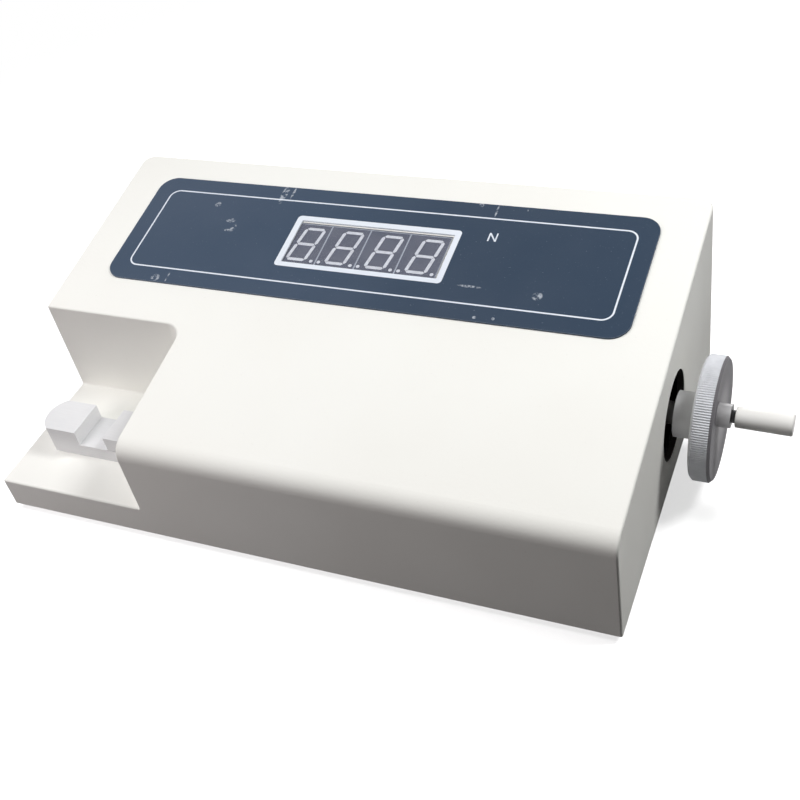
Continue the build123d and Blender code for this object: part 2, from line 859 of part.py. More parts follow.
# One turned piece: hub and rim, with straight flutes all round the rim
flute_points = [
    (
        (rim_radius - flute_depth * (point % 2)) * cos(point * pi / flute_count),
        (rim_radius - flute_depth * (point % 2)) * sin(point * pi / flute_count),
    )
    for point in range(2 * flute_count)
]
with BuildPart() as handwheel:
    with BuildSketch(on_screw(rim_start)):
        Circle(rim_radius)
    extrude(amount=rim_width)
    chamfer(edges().filter_by(GeomType.CIRCLE), rim_chamfer)
    with BuildSketch(on_screw(rim_start)):
        with BuildLine():
            Polyline(*flute_points, close=True)
        make_face()
    extrude(amount=rim_width, mode=Mode.INTERSECT)
    with BuildSketch(on_screw(hub_start)):
        Circle(hub_radius)
    extrude(amount=rim_start - hub_start)
    with BuildSketch(on_screw(hub_start)):
        Circle(journal_radius + fit)
    extrude(amount=shaft_end + gap - hub_start, mode=Mode.SUBTRACT)
    with BuildSketch(on_crank(rim_face)):
        Circle(crank_stud_radius + fit)
    extrude(amount=-crank_stud_length - gap, mode=Mode.SUBTRACT)
    with BuildSketch(under_screw(hub_screw_place, 0)):
        Circle(set_screw_radius + fit)
    extrude(amount=hub_radius, mode=Mode.SUBTRACT)
handwheel.part.label = "handwheel"
export_step(handwheel.part, "parts/handwheel.step")

with BuildPart() as set_screws:
    for place, outer_radius in ((collar_screw_place, collar_radius), (hub_screw_place, hub_radius)):
        with BuildSketch(under_screw(place, journal_radius + fit)):
            Circle(set_screw_radius)
        extrude(amount=outer_radius - journal_radius - 2 * gap)
set_screws.part.label = "set_screws"
export_step(set_screws.part, "parts/set_screws.step")

# ---------------------------------------------------------------- crank pin and revolving grip
pin_end = grip_start + grip_length - grip_end_wall
with BuildPart() as crank_pin:
    for start, end, radius in (
        (rim_face - crank_stud_length, rim_face, crank_stud_radius),
        (rim_face, rim_face + crank_collar_length, crank_collar_radius),
        (rim_face + crank_collar_length, grip_start - gap, crank_neck_radius),
        (grip_start - gap, pin_end - gap, crank_shank_radius),
    ):
        with BuildSketch(on_crank(start)):
            Circle(radius)
        extrude(amount=end - start)
crank_pin.part.label = "crank_pin"
export_step(crank_pin.part, "parts/crank_pin.step")

with BuildPart() as crank_grip:
    with BuildSketch(on_crank(grip_start)):
        Circle(grip_radius)
    extrude(amount=grip_length, taper=-grip_flare)
    fillet(edges().filter_by(GeomType.CIRCLE), grip_edge_radius)
    with BuildSketch(on_crank(grip_start)):
        Circle(crank_shank_radius + running)
    extrude(amount=pin_end - grip_start, mode=Mode.SUBTRACT)
crank_grip.part.label = "crank_grip"
export_step(crank_grip.part, "parts/crank_grip.step")

# ---------------------------------------------------------------- mains inlet
inlet_middle = (-inlet_place, fitting_height)
inlet_ends = [
    (-inlet_place - inlet_screw_spacing / 2, fitting_height),
    (-inlet_place + inlet_screw_spacing / 2, fitting_height),
]
pin_spots = [
    (-inlet_place - pin_spread, fitting_height - pin_offset),
    (-inlet_place, fitting_height + pin_offset),
    (-inlet_place + pin_spread, fitting_height - pin_offset),
]
inlet_face = back_plane.offset(inlet_flange[2])
socket_depth = inlet_socket[2]
with BuildPart() as power_inlet:
    with BuildSketch(back_plane):
        with Locations(inlet_middle):
            RectangleRounded(inlet_flange[0], inlet_flange[1], inlet_flange[1] / 4)
    extrude(amount=inlet_flange[2])
    with BuildSketch(back_plane):
        with Locations(inlet_middle):
            Rectangle(inlet_body[0], inlet_body[1])
    extrude(amount=-inlet_body[2])
    with BuildSketch(inlet_face):
        with Locations(inlet_middle):
            Rectangle(inlet_socket[0], inlet_socket[1])
        chamfer(vertices().group_by(Axis.Y)[-1], inlet_chamfer)
    extrude(amount=-socket_depth, mode=Mode.SUBTRACT)
    with BuildSketch(inlet_face):
        with Locations(*pin_spots):
            Rectangle(pin_section[0] + 2 * fit, pin_section[1] + 2 * fit)
    extrude(amount=-inlet_flange[2] - inlet_body[2], mode=Mode.SUBTRACT)
    with BuildSketch(inlet_face):
        with Locations(*inlet_ends):
            Circle(small_screw[2] + fit)
    extrude(amount=-inlet_flange[2], mode=Mode.SUBTRACT)
power_inlet.part.label = "power_inlet"
export_step(power_inlet.part, "parts/power_inlet.step")

with BuildPart() as inlet_pins:
    with BuildSketch(inlet_face.offset(-pin_drop)):
        with Locations(*pin_spots):
            Rectangle(*pin_section)
    extrude(amount=-(inlet_flange[2] - pin_drop + inlet_body[2] + pin_tail))
inlet_pins.part.label = "inlet_pins"
export_step(inlet_pins.part, "parts/inlet_pins.step")

inlet_screws = screw_group(inlet_face, inlet_ends, small_screw, inlet_flange[2] + 2 * wall)
inlet_screws.label = "inlet_screws"
export_step(inlet_screws, "parts/inlet_screws.step")

# ---------------------------------------------------------------- rocker switch
switch_middle = (-switch_place, fitting_height)
pivot = (left + switch_place, back + rocker_lift, base + fitting_height)
with BuildPart() as switch_housing:
    with BuildSketch(back_plane):
        with Locations(switch_middle):
            Rectangle(switch_bezel[0], switch_bezel[1])
    extrude(amount=switch_bezel[2])
    with BuildSketch(back_plane):
        with Locations(switch_middle):
            Rectangle(switch_body[0], switch_body[1])
    extrude(amount=-switch_body[2])
    with BuildSketch(back_plane.offset(switch_bezel[2])):
        with Locations(switch_middle):
            Rectangle(switch_mouth[0], switch_mouth[1])
    extrude(amount=-switch_bezel[2] - switch_mouth[2], mode=Mode.SUBTRACT)
    with BuildSketch(Plane(origin=pivot, x_dir=(0, 1, 0), z_dir=(1, 0, 0))):
        Circle(rocker_pin_radius + running)
    extrude(amount=switch_mouth[0] / 2 + rocker_pin_length, both=True, mode=Mode.SUBTRACT)
switch_housing.part.label = "switch_housing"
export_step(switch_housing.part, "parts/switch_housing.step")

# The rocker's ends are round about its pivot, so they clear the mouth at every tilt
rocker_plane = Plane(
    origin=pivot,
    x_dir=(0, sin(radians(rocker_tilt)), cos(radians(rocker_tilt))),
    z_dir=(-1, 0, 0),
)
with BuildPart() as power_rocker:
    with BuildSketch(rocker_plane):
        with BuildLine():
            Polyline(
                (-rocker_swing_radius, -rocker_base),
                (rocker_swing_radius, -rocker_base),
                (rocker_swing_radius, rocker_crown),
                (0, rocker_valley),
                (-rocker_swing_radius, rocker_crown),
                close=True,
            )
        make_face()
        Circle(rocker_swing_radius, mode=Mode.INTERSECT)
    extrude(amount=switch_mouth[0] / 2 - gap, both=True)
    with BuildSketch(rocker_plane):
        Circle(rocker_pin_radius)
    extrude(amount=switch_mouth[0] / 2 + rocker_pin_length - gap, both=True)
power_rocker.part.label = "power_rocker"
export_step(power_rocker.part, "parts/power_rocker.step")

# ---------------------------------------------------------------- fuse holder
fuse_middle = (-fuse_place, fitting_height)
with BuildPart() as fuse_holder:
    with BuildSketch(back_plane):
        with Locations(fuse_middle):
            Circle(fuse_flange_radius)
    extrude(amount=fuse_flange_thickness)
    with BuildSketch(back_plane):
        with Locations(fuse_middle):
            Circle(fuse_body_radius)
    extrude(amount=-fuse_body_length)
fuse_holder.part.label = "fuse_holder"
export_step(fuse_holder.part, "parts/fuse_holder.step")

with BuildPart() as fuse_cap:
    with BuildSketch(back_plane.offset(fuse_flange_thickness)):
        with Locations(fuse_middle):
            Circle(fuse_cap_radius)
    extrude(amount=fuse_cap_length - fuse_flange_thickness)
    chamfer(edges().group_by(Axis.Y)[-1], fuse_cap_radius / 8)
    with BuildSketch(back_plane.offset(fuse_cap_length)):
        with Locations(fuse_middle):
            Rectangle(fuse_slot[0], fuse_slot[1])
    extrude(amount=-fuse_slot[2], mode=Mode.SUBTRACT)
fuse_cap.part.label = "fuse_cap"
export_step(fuse_cap.part, "parts/fuse_cap.step")

with BuildPart() as fuse_nut:
    with BuildSketch(back_plane.offset(-wall)):
        with Locations(fuse_middle):
            RegularPolygon(fuse_nut_radius, 6)
            Circle(fuse_body_radius + fit, mode=Mode.SUBTRACT)
    extrude(amount=-fuse_nut_thickness)
fuse_nut.part.label = "fuse_nut"
export_step(fuse_nut.part, "parts/fuse_nut.step")

# ---------------------------------------------------------------- transformer
core_low = floor
core_front = front + transformer_place[1] - core_size[2] / 2
core_plane = Plane(
    origin=(left + transformer_place[0], core_front, core_low + core_size[1] / 2),
    x_dir=(-1, 0, 0),
    z_dir=(0, 1, 0),
)
with BuildPart() as transformer_core:
    with BuildSketch(core_plane):
        Rectangle(core_size[0], core_size[1])
        with GridLocations(core_leg + core_window[0], 0, 2, 1):
            Rectangle(core_window[0], core_window[1], mode=Mode.SUBTRACT)
    extrude(amount=core_size[2])
transformer_core.part.label = "transformer_core"
export_step(transformer_core.part, "parts/transformer_core.step")

with BuildPart() as transformer_winding:
    with BuildSketch(Plane.XY.offset(core_low + (core_size[1] - core_window[1]) / 2 + fit)):
        with Locations((left + transformer_place[0], front + transformer_place[1])):
            RectangleRounded(core_leg + 2 * core_window[0] - 2 * gap, winding_depth, core_window[0] / 2)
            Rectangle(core_leg + 2 * fit, core_size[2] + 2 * fit, mode=Mode.SUBTRACT)
    extrude(amount=core_window[1] - 2 * fit)
transformer_winding.part.label = "transformer_winding"
export_step(transformer_winding.part, "parts/transformer_winding.step")

with BuildPart() as transformer_clamp:
    with BuildSketch(core_plane.offset(core_size[2] / 4)):
        with Locations((0, clamp_thickness / 2 + fit)):
            Rectangle(core_size[0] + 2 * (clamp_thickness + fit), core_size[1] + clamp_thickness)
        with Locations((0, -core_size[1] / 2 + clamp_thickness / 2 + fit)):
            Rectangle(core_size[0] + 2 * clamp_ear + 2 * fit, clamp_thickness)
        Rectangle(core_size[0] + 2 * fit, core_size[1] + 2 * fit, mode=Mode.SUBTRACT)
    extrude(amount=core_size[2] / 2)
    with BuildSketch(level(floor)):
        with Locations(*clamp_spots):
            Circle(small_screw[2] + fit)
    extrude(amount=2 * clamp_thickness, mode=Mode.SUBTRACT)
transformer_clamp.part.label = "transformer_clamp"
export_step(transformer_clamp.part, "parts/transformer_clamp.step")

transformer_screws = screw_group(
    level(floor + clamp_thickness + fit),
    clamp_spots,
    small_screw,
    clamp_thickness + fit + plate_thickness,
)
transformer_screws.label = "transformer_screws"
export_step(transformer_screws, "parts/transformer_screws.step")

# ---------------------------------------------------------------- main board
board_low = floor + board_post_height
board_top = board_low + board_thickness
with BuildPart() as main_board:
    with BuildSketch(level(board_low)):
        with Locations((main_board_start, main_board_front)):
            Rectangle(main_board_length, main_board_width, align=(Align.MIN, Align.MIN))
        with Locations(*main_board_spots):
            Circle(small_screw[2] + fit, mode=Mode.SUBTRACT)
    extrude(amount=board_thickness)
main_board.part.label = "main_board"
export_step(main_board.part, "parts/main_board.step")

with BuildPart() as main_board_posts:
    with BuildSketch(level(floor)):
        with Locations(*main_board_spots):
            Circle(post_radius)
            Circle(small_screw[2] + fit, mode=Mode.SUBTRACT)
    extrude(amount=board_post_height)
main_board_posts.part.label = "main_board_posts"
export_step(main_board_posts.part, "parts/main_board_posts.step")

main_board_screws = screw_group(
    level(board_top),
    main_board_spots,
    small_screw,
    board_thickness + board_post_height + plate_thickness,
)
main_board_screws.label = "main_board_screws"
export_step(main_board_screws, "parts/main_board_screws.step")


def on_board(along, up):
    """A spot on the main board, as shares of its length and width."""
    return (main_board_start + along * main_board_length, main_board_front + up * main_board_width)


with BuildPart() as main_board_chips:
    for chip, spot in ((microcontroller, on_board(0.6, 0.25)), (display_driver, on_board(0.4, 0.75))):
        with BuildSketch(level(board_top)):
            with Locations(spot):
                Rectangle(chip[0], chip[1])
        extrude(amount=chip[2])
main_board_chips.part.label = "main_board_chips"
export_step(main_board_chips.part, "parts/main_board_chips.step")

with BuildPart() as filter_capacitors:
    with BuildSketch(level(board_top)):
        with Locations(on_board(0.75, 0.75)):
            with GridLocations(capacitor_spacing, 0, 2, 1):
                Circle(capacitor_radius)
    extrude(amount=capacitor_height)
    fillet(edges().group_by(Axis.Z)[-1], capacitor_radius / 8)
filter_capacitors.part.label = "filter_capacitors"
export_step(filter_capacitors.part, "parts/filter_capacitors.step")

# ---------------------------------------------------------------- ribbon cable and its connectors
connector_length, connector_width, connector_height = connector_size
ribbon_middle = ribbon_start + ribbon_width / 2
upper_s = digits_low + digit_height + connector_width / 2
with BuildPart() as display_connector:
    with BuildSketch(board_under):
        with Locations((ribbon_middle, upper_s)):
            Rectangle(connector_length, connector_width)
    extrude(amount=-connector_height)
display_connector.part.label = "display_connector"
export_step(display_connector.part, "parts/display_connector.step")

plug_point = board_under.offset(-connector_height).from_local_coords(Vector(ribbon_middle, upper_s, 0))
lower_y = plug_point.Y - ribbon_step
with BuildPart() as main_board_connector:
    with BuildSketch(Plane.XY.offset(board_top)):
        with Locations((left + ribbon_middle, lower_y)):
            Rectangle(connector_length, connector_width)
    extrude(amount=connector_height)
main_board_connector.part.label = "main_board_connector"
export_step(main_board_connector.part, "parts/main_board_connector.step")

ribbon_top = plug_point.Z - connector_width / 2 * sin(slope)
ribbon_low = board_top + connector_height
with BuildPart() as ribbon_cable:
    with BuildSketch(across(ribbon_start)):
        with BuildLine():
            FilletPolyline(
                (plug_point.Y, ribbon_top),
                (plug_point.Y, ribbon_top - 2 * ribbon_bend_radius),
                (lower_y, ribbon_low + 2 * ribbon_bend_radius),
                (lower_y, ribbon_low),
                radius=ribbon_bend_radius,
            )
        trace(line_width=ribbon_thickness)
    extrude(amount=ribbon_width)
ribbon_cable.part.label = "ribbon_cable"
export_step(ribbon_cable.part, "parts/ribbon_cable.step")
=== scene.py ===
import math

import bmesh
import bpy
from mathutils import Matrix, Vector


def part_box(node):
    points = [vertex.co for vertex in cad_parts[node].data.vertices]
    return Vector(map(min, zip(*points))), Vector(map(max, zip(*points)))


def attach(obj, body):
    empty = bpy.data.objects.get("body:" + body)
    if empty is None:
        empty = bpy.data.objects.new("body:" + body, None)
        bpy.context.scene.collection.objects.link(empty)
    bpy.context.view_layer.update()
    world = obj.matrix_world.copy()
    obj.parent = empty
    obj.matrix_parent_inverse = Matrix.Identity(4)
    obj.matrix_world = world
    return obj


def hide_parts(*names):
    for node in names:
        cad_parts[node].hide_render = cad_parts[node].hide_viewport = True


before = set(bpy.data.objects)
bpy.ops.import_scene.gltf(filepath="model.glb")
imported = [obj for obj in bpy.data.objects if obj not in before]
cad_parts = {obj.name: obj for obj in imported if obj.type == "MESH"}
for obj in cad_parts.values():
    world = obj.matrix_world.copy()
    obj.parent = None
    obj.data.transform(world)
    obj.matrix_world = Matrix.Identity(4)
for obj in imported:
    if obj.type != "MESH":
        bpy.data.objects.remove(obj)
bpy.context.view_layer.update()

# ---------------------------------------------------------------- camera
# The photograph was taken from the right, above and in front, with a normal lens. The place, in metres, and
# the turn, in degrees, are fitted to the housing's corners.
scene = bpy.context.scene
camera_data = bpy.data.cameras.new("camera")
camera_data.sensor_width = 36.0
camera_data.lens = 52.5
camera_data.clip_start = 0.01
camera = bpy.data.objects.new("camera", camera_data)
camera.location = (0.2040, -0.3561, 0.3899)
camera.rotation_euler = (math.radians(47.476), math.radians(9.221), math.radians(21.969))
scene.collection.objects.link(camera)
scene.camera = camera

# ---------------------------------------------------------------- lamps
# A soft box over the left half lights the slope, the platform and the bay. A small one low in front of it
# lights the front, and one above the right end throws the handwheel's shadow down that end. A low one behind
# keeps the back readable and hardly touches the rest.
scene.view_settings.view_transform = "Standard"


def area_light(name, place, target, size, power, colour=(1, 1, 1)):
    """A square soft box at a place, facing its target."""
    data = bpy.data.lights.new(name, "AREA")
    data.shape = "SQUARE"
    data.size = size
    data.energy = power
    data.color = colour
    lamp = bpy.data.objects.new(name, data)
    lamp.location = place
    lamp.rotation_euler = (Vector(target) - Vector(place)).to_track_quat("-Z", "Y").to_euler()
    scene.collection.objects.link(lamp)


WARM = (1.0, 0.93, 0.945)
area_light("top_softbox", (-0.32, -0.1, 0.75), (-0.05, 0, 0.05), size=0.4, power=2.88)
area_light("front_fill", (-0.45, -0.4, 0.28), (-0.1, -0.05, 0.03), size=0.25, power=1.13, colour=WARM)
area_light("right_softbox", (0.45, 0.12, 0.62), (0.12, 0, 0.05), size=0.2, power=3.25)
area_light("back_fill", (-0.1, 1.1, 0.33), (-0.05, 0.08, 0.05), size=0.5, power=3.6)


# ---------------------------------------------------------------- white surroundings
# The camera, mirrors and clear pieces see plain white all round. For all other rays the room is nearly dark,
# so that the lamps alone shape the object.
def direct_ray(tree):
    """1 for rays from the camera, mirrors and clear pieces, and 0 for the rest."""
    path = tree.nodes.new("ShaderNodeLightPath")
    share = path.outputs["Is Camera Ray"]
    for kind in ("Is Glossy Ray", "Is Transmission Ray"):
        either = tree.nodes.new("ShaderNodeMath")
        either.operation = "MAXIMUM"
        tree.links.new(share, either.inputs[0])
        tree.links.new(path.outputs[kind], either.inputs[1])
        share = either.outputs[0]
    return share


def mix_by_ray(tree, other, direct, surface):
    """Joins two shaders to an output: one for direct rays and the other for the rest."""
    mix = tree.nodes.new("ShaderNodeMixShader")
    tree.links.new(direct_ray(tree), mix.inputs["Fac"])
    tree.links.new(other, mix.inputs[1])
    tree.links.new(direct, mix.inputs[2])
    tree.links.new(mix.outputs[0], surface)


world = bpy.data.worlds.new("studio")
scene.world = world
world.use_nodes = True
sky = world.node_tree
sky.nodes.clear()
seen = sky.nodes.new("ShaderNodeBackground")
seen.inputs["Color"].default_value = (1, 1, 1, 1)
lit = sky.nodes.new("ShaderNodeBackground")
lit.inputs["Color"].default_value = (0.80, 0.82, 0.86, 1)
lit.inputs["Strength"].default_value = 0.02
sky_out = sky.nodes.new("ShaderNodeOutputWorld")
mix_by_ray(sky, lit.outputs[0], seen.outputs[0], sky_out.inputs["Surface"])

# ---------------------------------------------------------------- floor
# White studio paper. Under the object it is paper that shows the shadow, with some glow; past the rim of that
# patch it is all glow, so that it meets the white of the room.
FLOOR_HALF = 4.0
PATCH_EDGE, PATCH_END = 0.26, 0.60
sheet = bmesh.new()
bmesh.ops.create_grid(sheet, x_segments=1, y_segments=1, size=FLOOR_HALF)
floor_mesh = bpy.data.meshes.new("floor")
sheet.to_mesh(floor_mesh)
sheet.free()
floor = bpy.data.objects.new("floor", floor_mesh)
scene.collection.objects.link(floor)
floor_finish = bpy.data.materials.new("studio_floor")
floor_finish.use_nodes = True
ground_tree = floor_finish.node_tree
ground_tree.nodes.clear()
paper = ground_tree.nodes.new("ShaderNodeBsdfDiffuse")
glow = ground_tree.nodes.new("ShaderNodeEmission")
floor_place = ground_tree.nodes.new("ShaderNodeTexCoord")
floor_reach = ground_tree.nodes.new("ShaderNodeVectorMath")
floor_reach.operation = "LENGTH"
ground_tree.links.new(floor_place.outputs["Object"], floor_reach.inputs[0])
for near, far, socket in ((0.98, 0.0, paper.inputs["Color"]), (0.60, 1.0, glow.inputs["Strength"])):
    fade = ground_tree.nodes.new("ShaderNodeMapRange")
    fade.interpolation_type = "SMOOTHSTEP"
    for index, number in enumerate((PATCH_EDGE, PATCH_END, near, far), 1):
        fade.inputs[index].default_value = number
    ground_tree.links.new(floor_reach.outputs["Value"], fade.inputs["Value"])
    ground_tree.links.new(fade.outputs[0], socket)
bright_paper = ground_tree.nodes.new("ShaderNodeAddShader")
ground_tree.links.new(paper.outputs[0], bright_paper.inputs[0])
ground_tree.links.new(glow.outputs[0], bright_paper.inputs[1])
dim_paper = ground_tree.nodes.new("ShaderNodeBsdfDiffuse")
dim_paper.inputs["Color"].default_value = (0.07, 0.068, 0.068, 1)
floor_out = ground_tree.nodes.new("ShaderNodeOutputMaterial")
mix_by_ray(ground_tree, dim_paper.outputs[0], bright_paper.outputs[0], floor_out.inputs["Surface"])
floor_mesh.materials.append(floor_finish)

# ---------------------------------------------------------------- housing
# The cover is one moulding of glass-filled plastic with a cream satin coat, screwed to the base plate from
# below. The coat has a fine orange peel, a little yellowing in patches and rubbed, greyer edges. The round
# hole's edge and the inside are painted near black, as painted shade for the dark seen into the hole.
mm = 0.001
shell_low, shell_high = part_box("cover_shell")
LEFT, FRONT, BASE = shell_low
RIGHT, BACK, _ = shell_high
FRONT_HEIGHT, SLOPE_RISE, SLOPE_RUN = 55.0, 30.5, 178.0
SLOPE = math.atan2(SLOPE_RISE, SLOPE_RUN)
ALONG = Vector((1, 0, 0))
UP_SLOPE = Vector((0, math.cos(SLOPE), math.sin(SLOPE)))
OFF_SLOPE = Vector((0, -math.sin(SLOPE), math.cos(SLOPE)))
axis_low, axis_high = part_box("lead_screw")
AXIS_Y = (axis_low.y + axis_high.y) / 2
AXIS_Z = (axis_low.z + axis_high.z) / 2
HOLE_Y, HOLE_Z, HOLE_RADIUS = AXIS_Y - 1.0 * mm, AXIS_Z - 0.5 * mm, 20.4 * mm
HOLE_X = (RIGHT - 5.0 * mm, RIGHT - 0.3 * mm)
INSIDE_X = (LEFT + 84.0 * mm, RIGHT - 2.6 * mm)
INSIDE_Y = (FRONT + 14.0 * mm, BACK - 2.6 * mm)


def on_slope(x, s, h=0.0):
    """A point of the sloped top: x and s along and up it, h above it, all in millimetres."""
    start = Vector((LEFT, FRONT, BASE + FRONT_HEIGHT * mm))
    return start + ALONG * x * mm + UP_SLOPE * s * mm + OFF_SLOPE * h * mm


class Finish:
    """A new material and the short ways to its nodes. Coordinates are the frame's own, in metres."""

    def __init__(self, name, roughness=0.5, metallic=0.0, **sockets):
        self.material = bpy.data.materials.new(name)
        self.material.use_nodes = True
        self.tree = self.material.node_tree
        self.shader = self.tree.nodes["Principled BSDF"]
        self.shader.inputs["Roughness"].default_value = roughness
        self.shader.inputs["Metallic"].default_value = metallic
        for socket, value in sockets.items():
            self.shader.inputs[socket.replace("_", " ")].default_value = value
        self.place = self.node("ShaderNodeTexCoord").outputs["Object"]

    def node(self, kind, **settings):
        made = self.tree.nodes.new(kind)
        for key, value in settings.items():
            setattr(made, key, value)
        return made

    def link(self, source, target):
        """Joins an output to an input, or sets the input where the source is a plain value."""
        if isinstance(source, bpy.types.NodeSocket):
            self.tree.links.new(source, target)
        else:
            target.default_value = source

    def feed(self, socket, source):
        """Sets an input of the shader by its name."""
        self.link(source, self.shader.inputs[socket])

    # numbers

    def math(self, operation, a, b=0.0):
        made = self.node("ShaderNodeMath", operation=operation)
        self.link(a, made.inputs[0])
        self.link(b, made.inputs[1])
        return made.outputs[0]

    def times(self, a, b):
        return self.math("MULTIPLY", a, b)

    def less(self, a, b):
        return self.math("SUBTRACT", a, b)

    def ramp(self, value, low, high, to_low=0.0, to_high=1.0):
        """The value carried smoothly from one range to another and clamped there."""
        made = self.node("ShaderNodeMapRange", interpolation_type="SMOOTHSTEP")
        self.link(value, made.inputs["Value"])
        for index, number in enumerate((low, high, to_low, to_high), 1):
            made.inputs[index].default_value = number
        return made.outputs[0]

    def between(self, value, low, high, soft=0.0002):
        """1 where a value lies between two bounds."""
        over = self.ramp(value, low - soft, low)
        return self.times(over, self.less(1.0, self.ramp(value, high, high + soft)))

    # places

    def along(self, direction):
        """How far a point lies from the origin along a direction."""
        made = self.node("ShaderNodeVectorMath", operation="DOT_PRODUCT")
        self.link(self.place, made.inputs[0])
        made.inputs[1].default_value = direction
        return made.outputs["Value"]

    def from_line(self, y, z):
        """How far a point is from the line along X through y and z."""
        across = self.math("POWER", self.less(self.along((0, 1, 0)), y), 2.0)
        up = self.math("POWER", self.less(self.along((0, 0, 1)), z), 2.0)
        return self.math("SQRT", self.math("ADD", across, up))

    # patterns

    def noise(self, scale, detail=3.0, roughness=0.5, stretch=None):
        """Cloudy values from 0 to 1, with the coordinates stretched per axis where that is given."""
        made = self.node("ShaderNodeTexNoise")
        made.inputs["Scale"].default_value = scale
        made.inputs["Detail"].default_value = detail
        made.inputs["Roughness"].default_value = roughness
        vector = self.place
        if stretch:
            mapping = self.node("ShaderNodeMapping")
            self.link(self.place, mapping.inputs["Vector"])
            mapping.inputs["Scale"].default_value = stretch
            vector = mapping.outputs[0]
        self.link(vector, made.inputs["Vector"])
        return made.outputs["Fac"]

    def edges(self, radius):
        """0 on flat ground and towards 1 on edges and corners."""
        rounded = self.node("ShaderNodeBevel", samples=6)
        rounded.inputs["Radius"].default_value = radius
        flat = self.node("ShaderNodeNewGeometry")
        dot = self.node("ShaderNodeVectorMath", operation="DOT_PRODUCT")
        self.link(rounded.outputs[0], dot.inputs[0])
        self.link(flat.outputs["Normal"], dot.inputs[1])
        return self.ramp(dot.outputs["Value"], 1.0, 0.80)

    # colour and relief

    def blend(self, share, a, b):
        """A colour between a and b."""
        made = self.node("ShaderNodeMix", data_type="RGBA")
        self.link(share, made.inputs[0])
        for colour, socket in ((a, made.inputs[6]), (b, made.inputs[7])):
            self.link(colour if isinstance(colour, bpy.types.NodeSocket) else (*colour, 1.0), socket)
        return made.outputs[2]

    def mottled(self, value, a, b):
        """A colour that drifts between a and b with a pattern."""
        return self.blend(self.ramp(value, 0.3, 0.7), a, b)

    def colour(self, source):
        self.feed("Base Color", source)

    def rough(self, value, low, high):
        """Roughness that drifts between two numbers with a pattern."""
        self.feed("Roughness", self.ramp(value, 0.3, 0.7, low, high))

    def bump(self, height, strength, distance):
        made = self.node("ShaderNodeBump")
        made.inputs["Strength"].default_value = strength
        made.inputs["Distance"].default_value = distance
        self.link(height, made.inputs["Height"])
        if self.shader.inputs["Normal"].is_linked:
            self.link(self.shader.inputs["Normal"].links[0].from_socket, made.inputs["Normal"])
        self.feed("Normal", made.outputs[0])


def dress(finish, *names):
    """Gives CAD nodes this material."""
    for name in names:
        for material_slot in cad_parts[name].material_slots:
            material_slot.link = "OBJECT"
            material_slot.material = finish.material


coat = Finish("cream_coat", roughness=0.7, Specular_IOR_Level=0.12)
patches = coat.ramp(coat.noise(9.0, 4.0), 0.35, 0.7)
specks = coat.ramp(coat.noise(900.0, 2.0), 0.70, 0.76)
tint = coat.blend(patches, (0.935, 0.935, 0.895), (0.915, 0.91, 0.865))
tint = coat.blend(coat.times(specks, 0.10), tint, (0.45, 0.42, 0.36))
tint = coat.blend(coat.times(coat.edges(0.0012), 0.15), tint, (0.66, 0.65, 0.61))
coat_x, coat_y = coat.along((1, 0, 0)), coat.along((0, 1, 0))
below_top = coat.along(OFF_SLOPE)


def under_top(*depths):
    """0 down to the first depth under the sloped top and 1 past the second, in millimetres."""
    return coat.ramp(below_top, *(on_slope(0, 0, -depth).dot(OFF_SLOPE) for depth in depths))


# Painted shade: the round hole's edge and the cover's inside are painted near black.
hole_edge_shade = coat.ramp(coat.from_line(HOLE_Y, HOLE_Z), HOLE_RADIUS + 0.1 * mm, HOLE_RADIUS - 0.1 * mm)
hole_edge_shade = coat.times(hole_edge_shade, coat.between(coat_x, *HOLE_X))
inside_shade = coat.times(under_top(2.2, 2.6), coat.between(coat_x, *INSIDE_X))
inside_shade = coat.times(inside_shade, coat.between(coat_y, *INSIDE_Y))
# Painted shade: the walls of the opening under the display window are painted a dark blue-grey.
pane_low, pane_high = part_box("display_window")
window_wall_shade = coat.times(under_top(0.02, 0.08), coat.between(coat_x, pane_low.x - mm, pane_high.x + mm))
window_wall_shade = coat.times(window_wall_shade, coat.between(coat_y, pane_low.y - mm, pane_high.y + mm))
hole_shade_tone = coat.mottled(coat.noise(60.0), (0.030, 0.026, 0.024), (0.050, 0.044, 0.040))
tint = coat.blend(coat.math("MAXIMUM", hole_edge_shade, inside_shade), tint, hole_shade_tone)
coat.colour(coat.blend(window_wall_shade, tint, (0.21, 0.23, 0.28)))
coat.rough(coat.noise(30.0, 4.0), 0.64, 0.78)
coat.bump(coat.noise(650.0, 2.0), 0.10, 0.0004)
coat.bump(coat.noise(40.0, 2.0), 0.05, 0.002)
dress(coat, "cover_shell")

# ---------------------------------------------------------------- control panel film
# A textured polyester film stuck to the slope. A thin pale line runs round it, and a broad pale frame round
# the display window; both are printed. It has small scuffs and dry glue marks near its edges. Its ink is
# painted lighter towards the left, as a painted sheen. Sizes are in millimetres, first along the slope and
# then up it.
LINE_BOX, LINE_CORNER = (30.3, 272.2, 103.4, 155.6), 5.0
LINE_EDGE, LINE_CORE = 0.50, 0.30
SHEEN_FROM, SHEEN_TO = 210.0, 110.0
WINDOW_BOX, WINDOW_CORNER = (107.6, 192.6, 113.1, 146.2), 2.0
SCUFFS = (
    (60.3, 148.5, 1.8, 2.0), (72.5, 138.5, 3.0, 1.6), (76.0, 134.0, 1.6, 3.0), (74.0, 131.8, 2.4, 1.0),
    (93.5, 160.0, 2.0, 8.0), (98.0, 160.5, 0.7, 4.5), (50.0, 96.6, 2.6, 2.6), (56.4, 98.0, 0.6, 3.6),
    (237.8, 112.2, 2.6, 2.6), (196.0, 163.4, 1.6, 1.6), (204.6, 160.8, 0.6, 4.5), (219.0, 163.2, 0.6, 1.2),
    (206.0, 113.4, 6.5, 0.8), (214.0, 96.4, 1.0, 0.9), (222.4, 96.8, 0.9, 1.0),
)
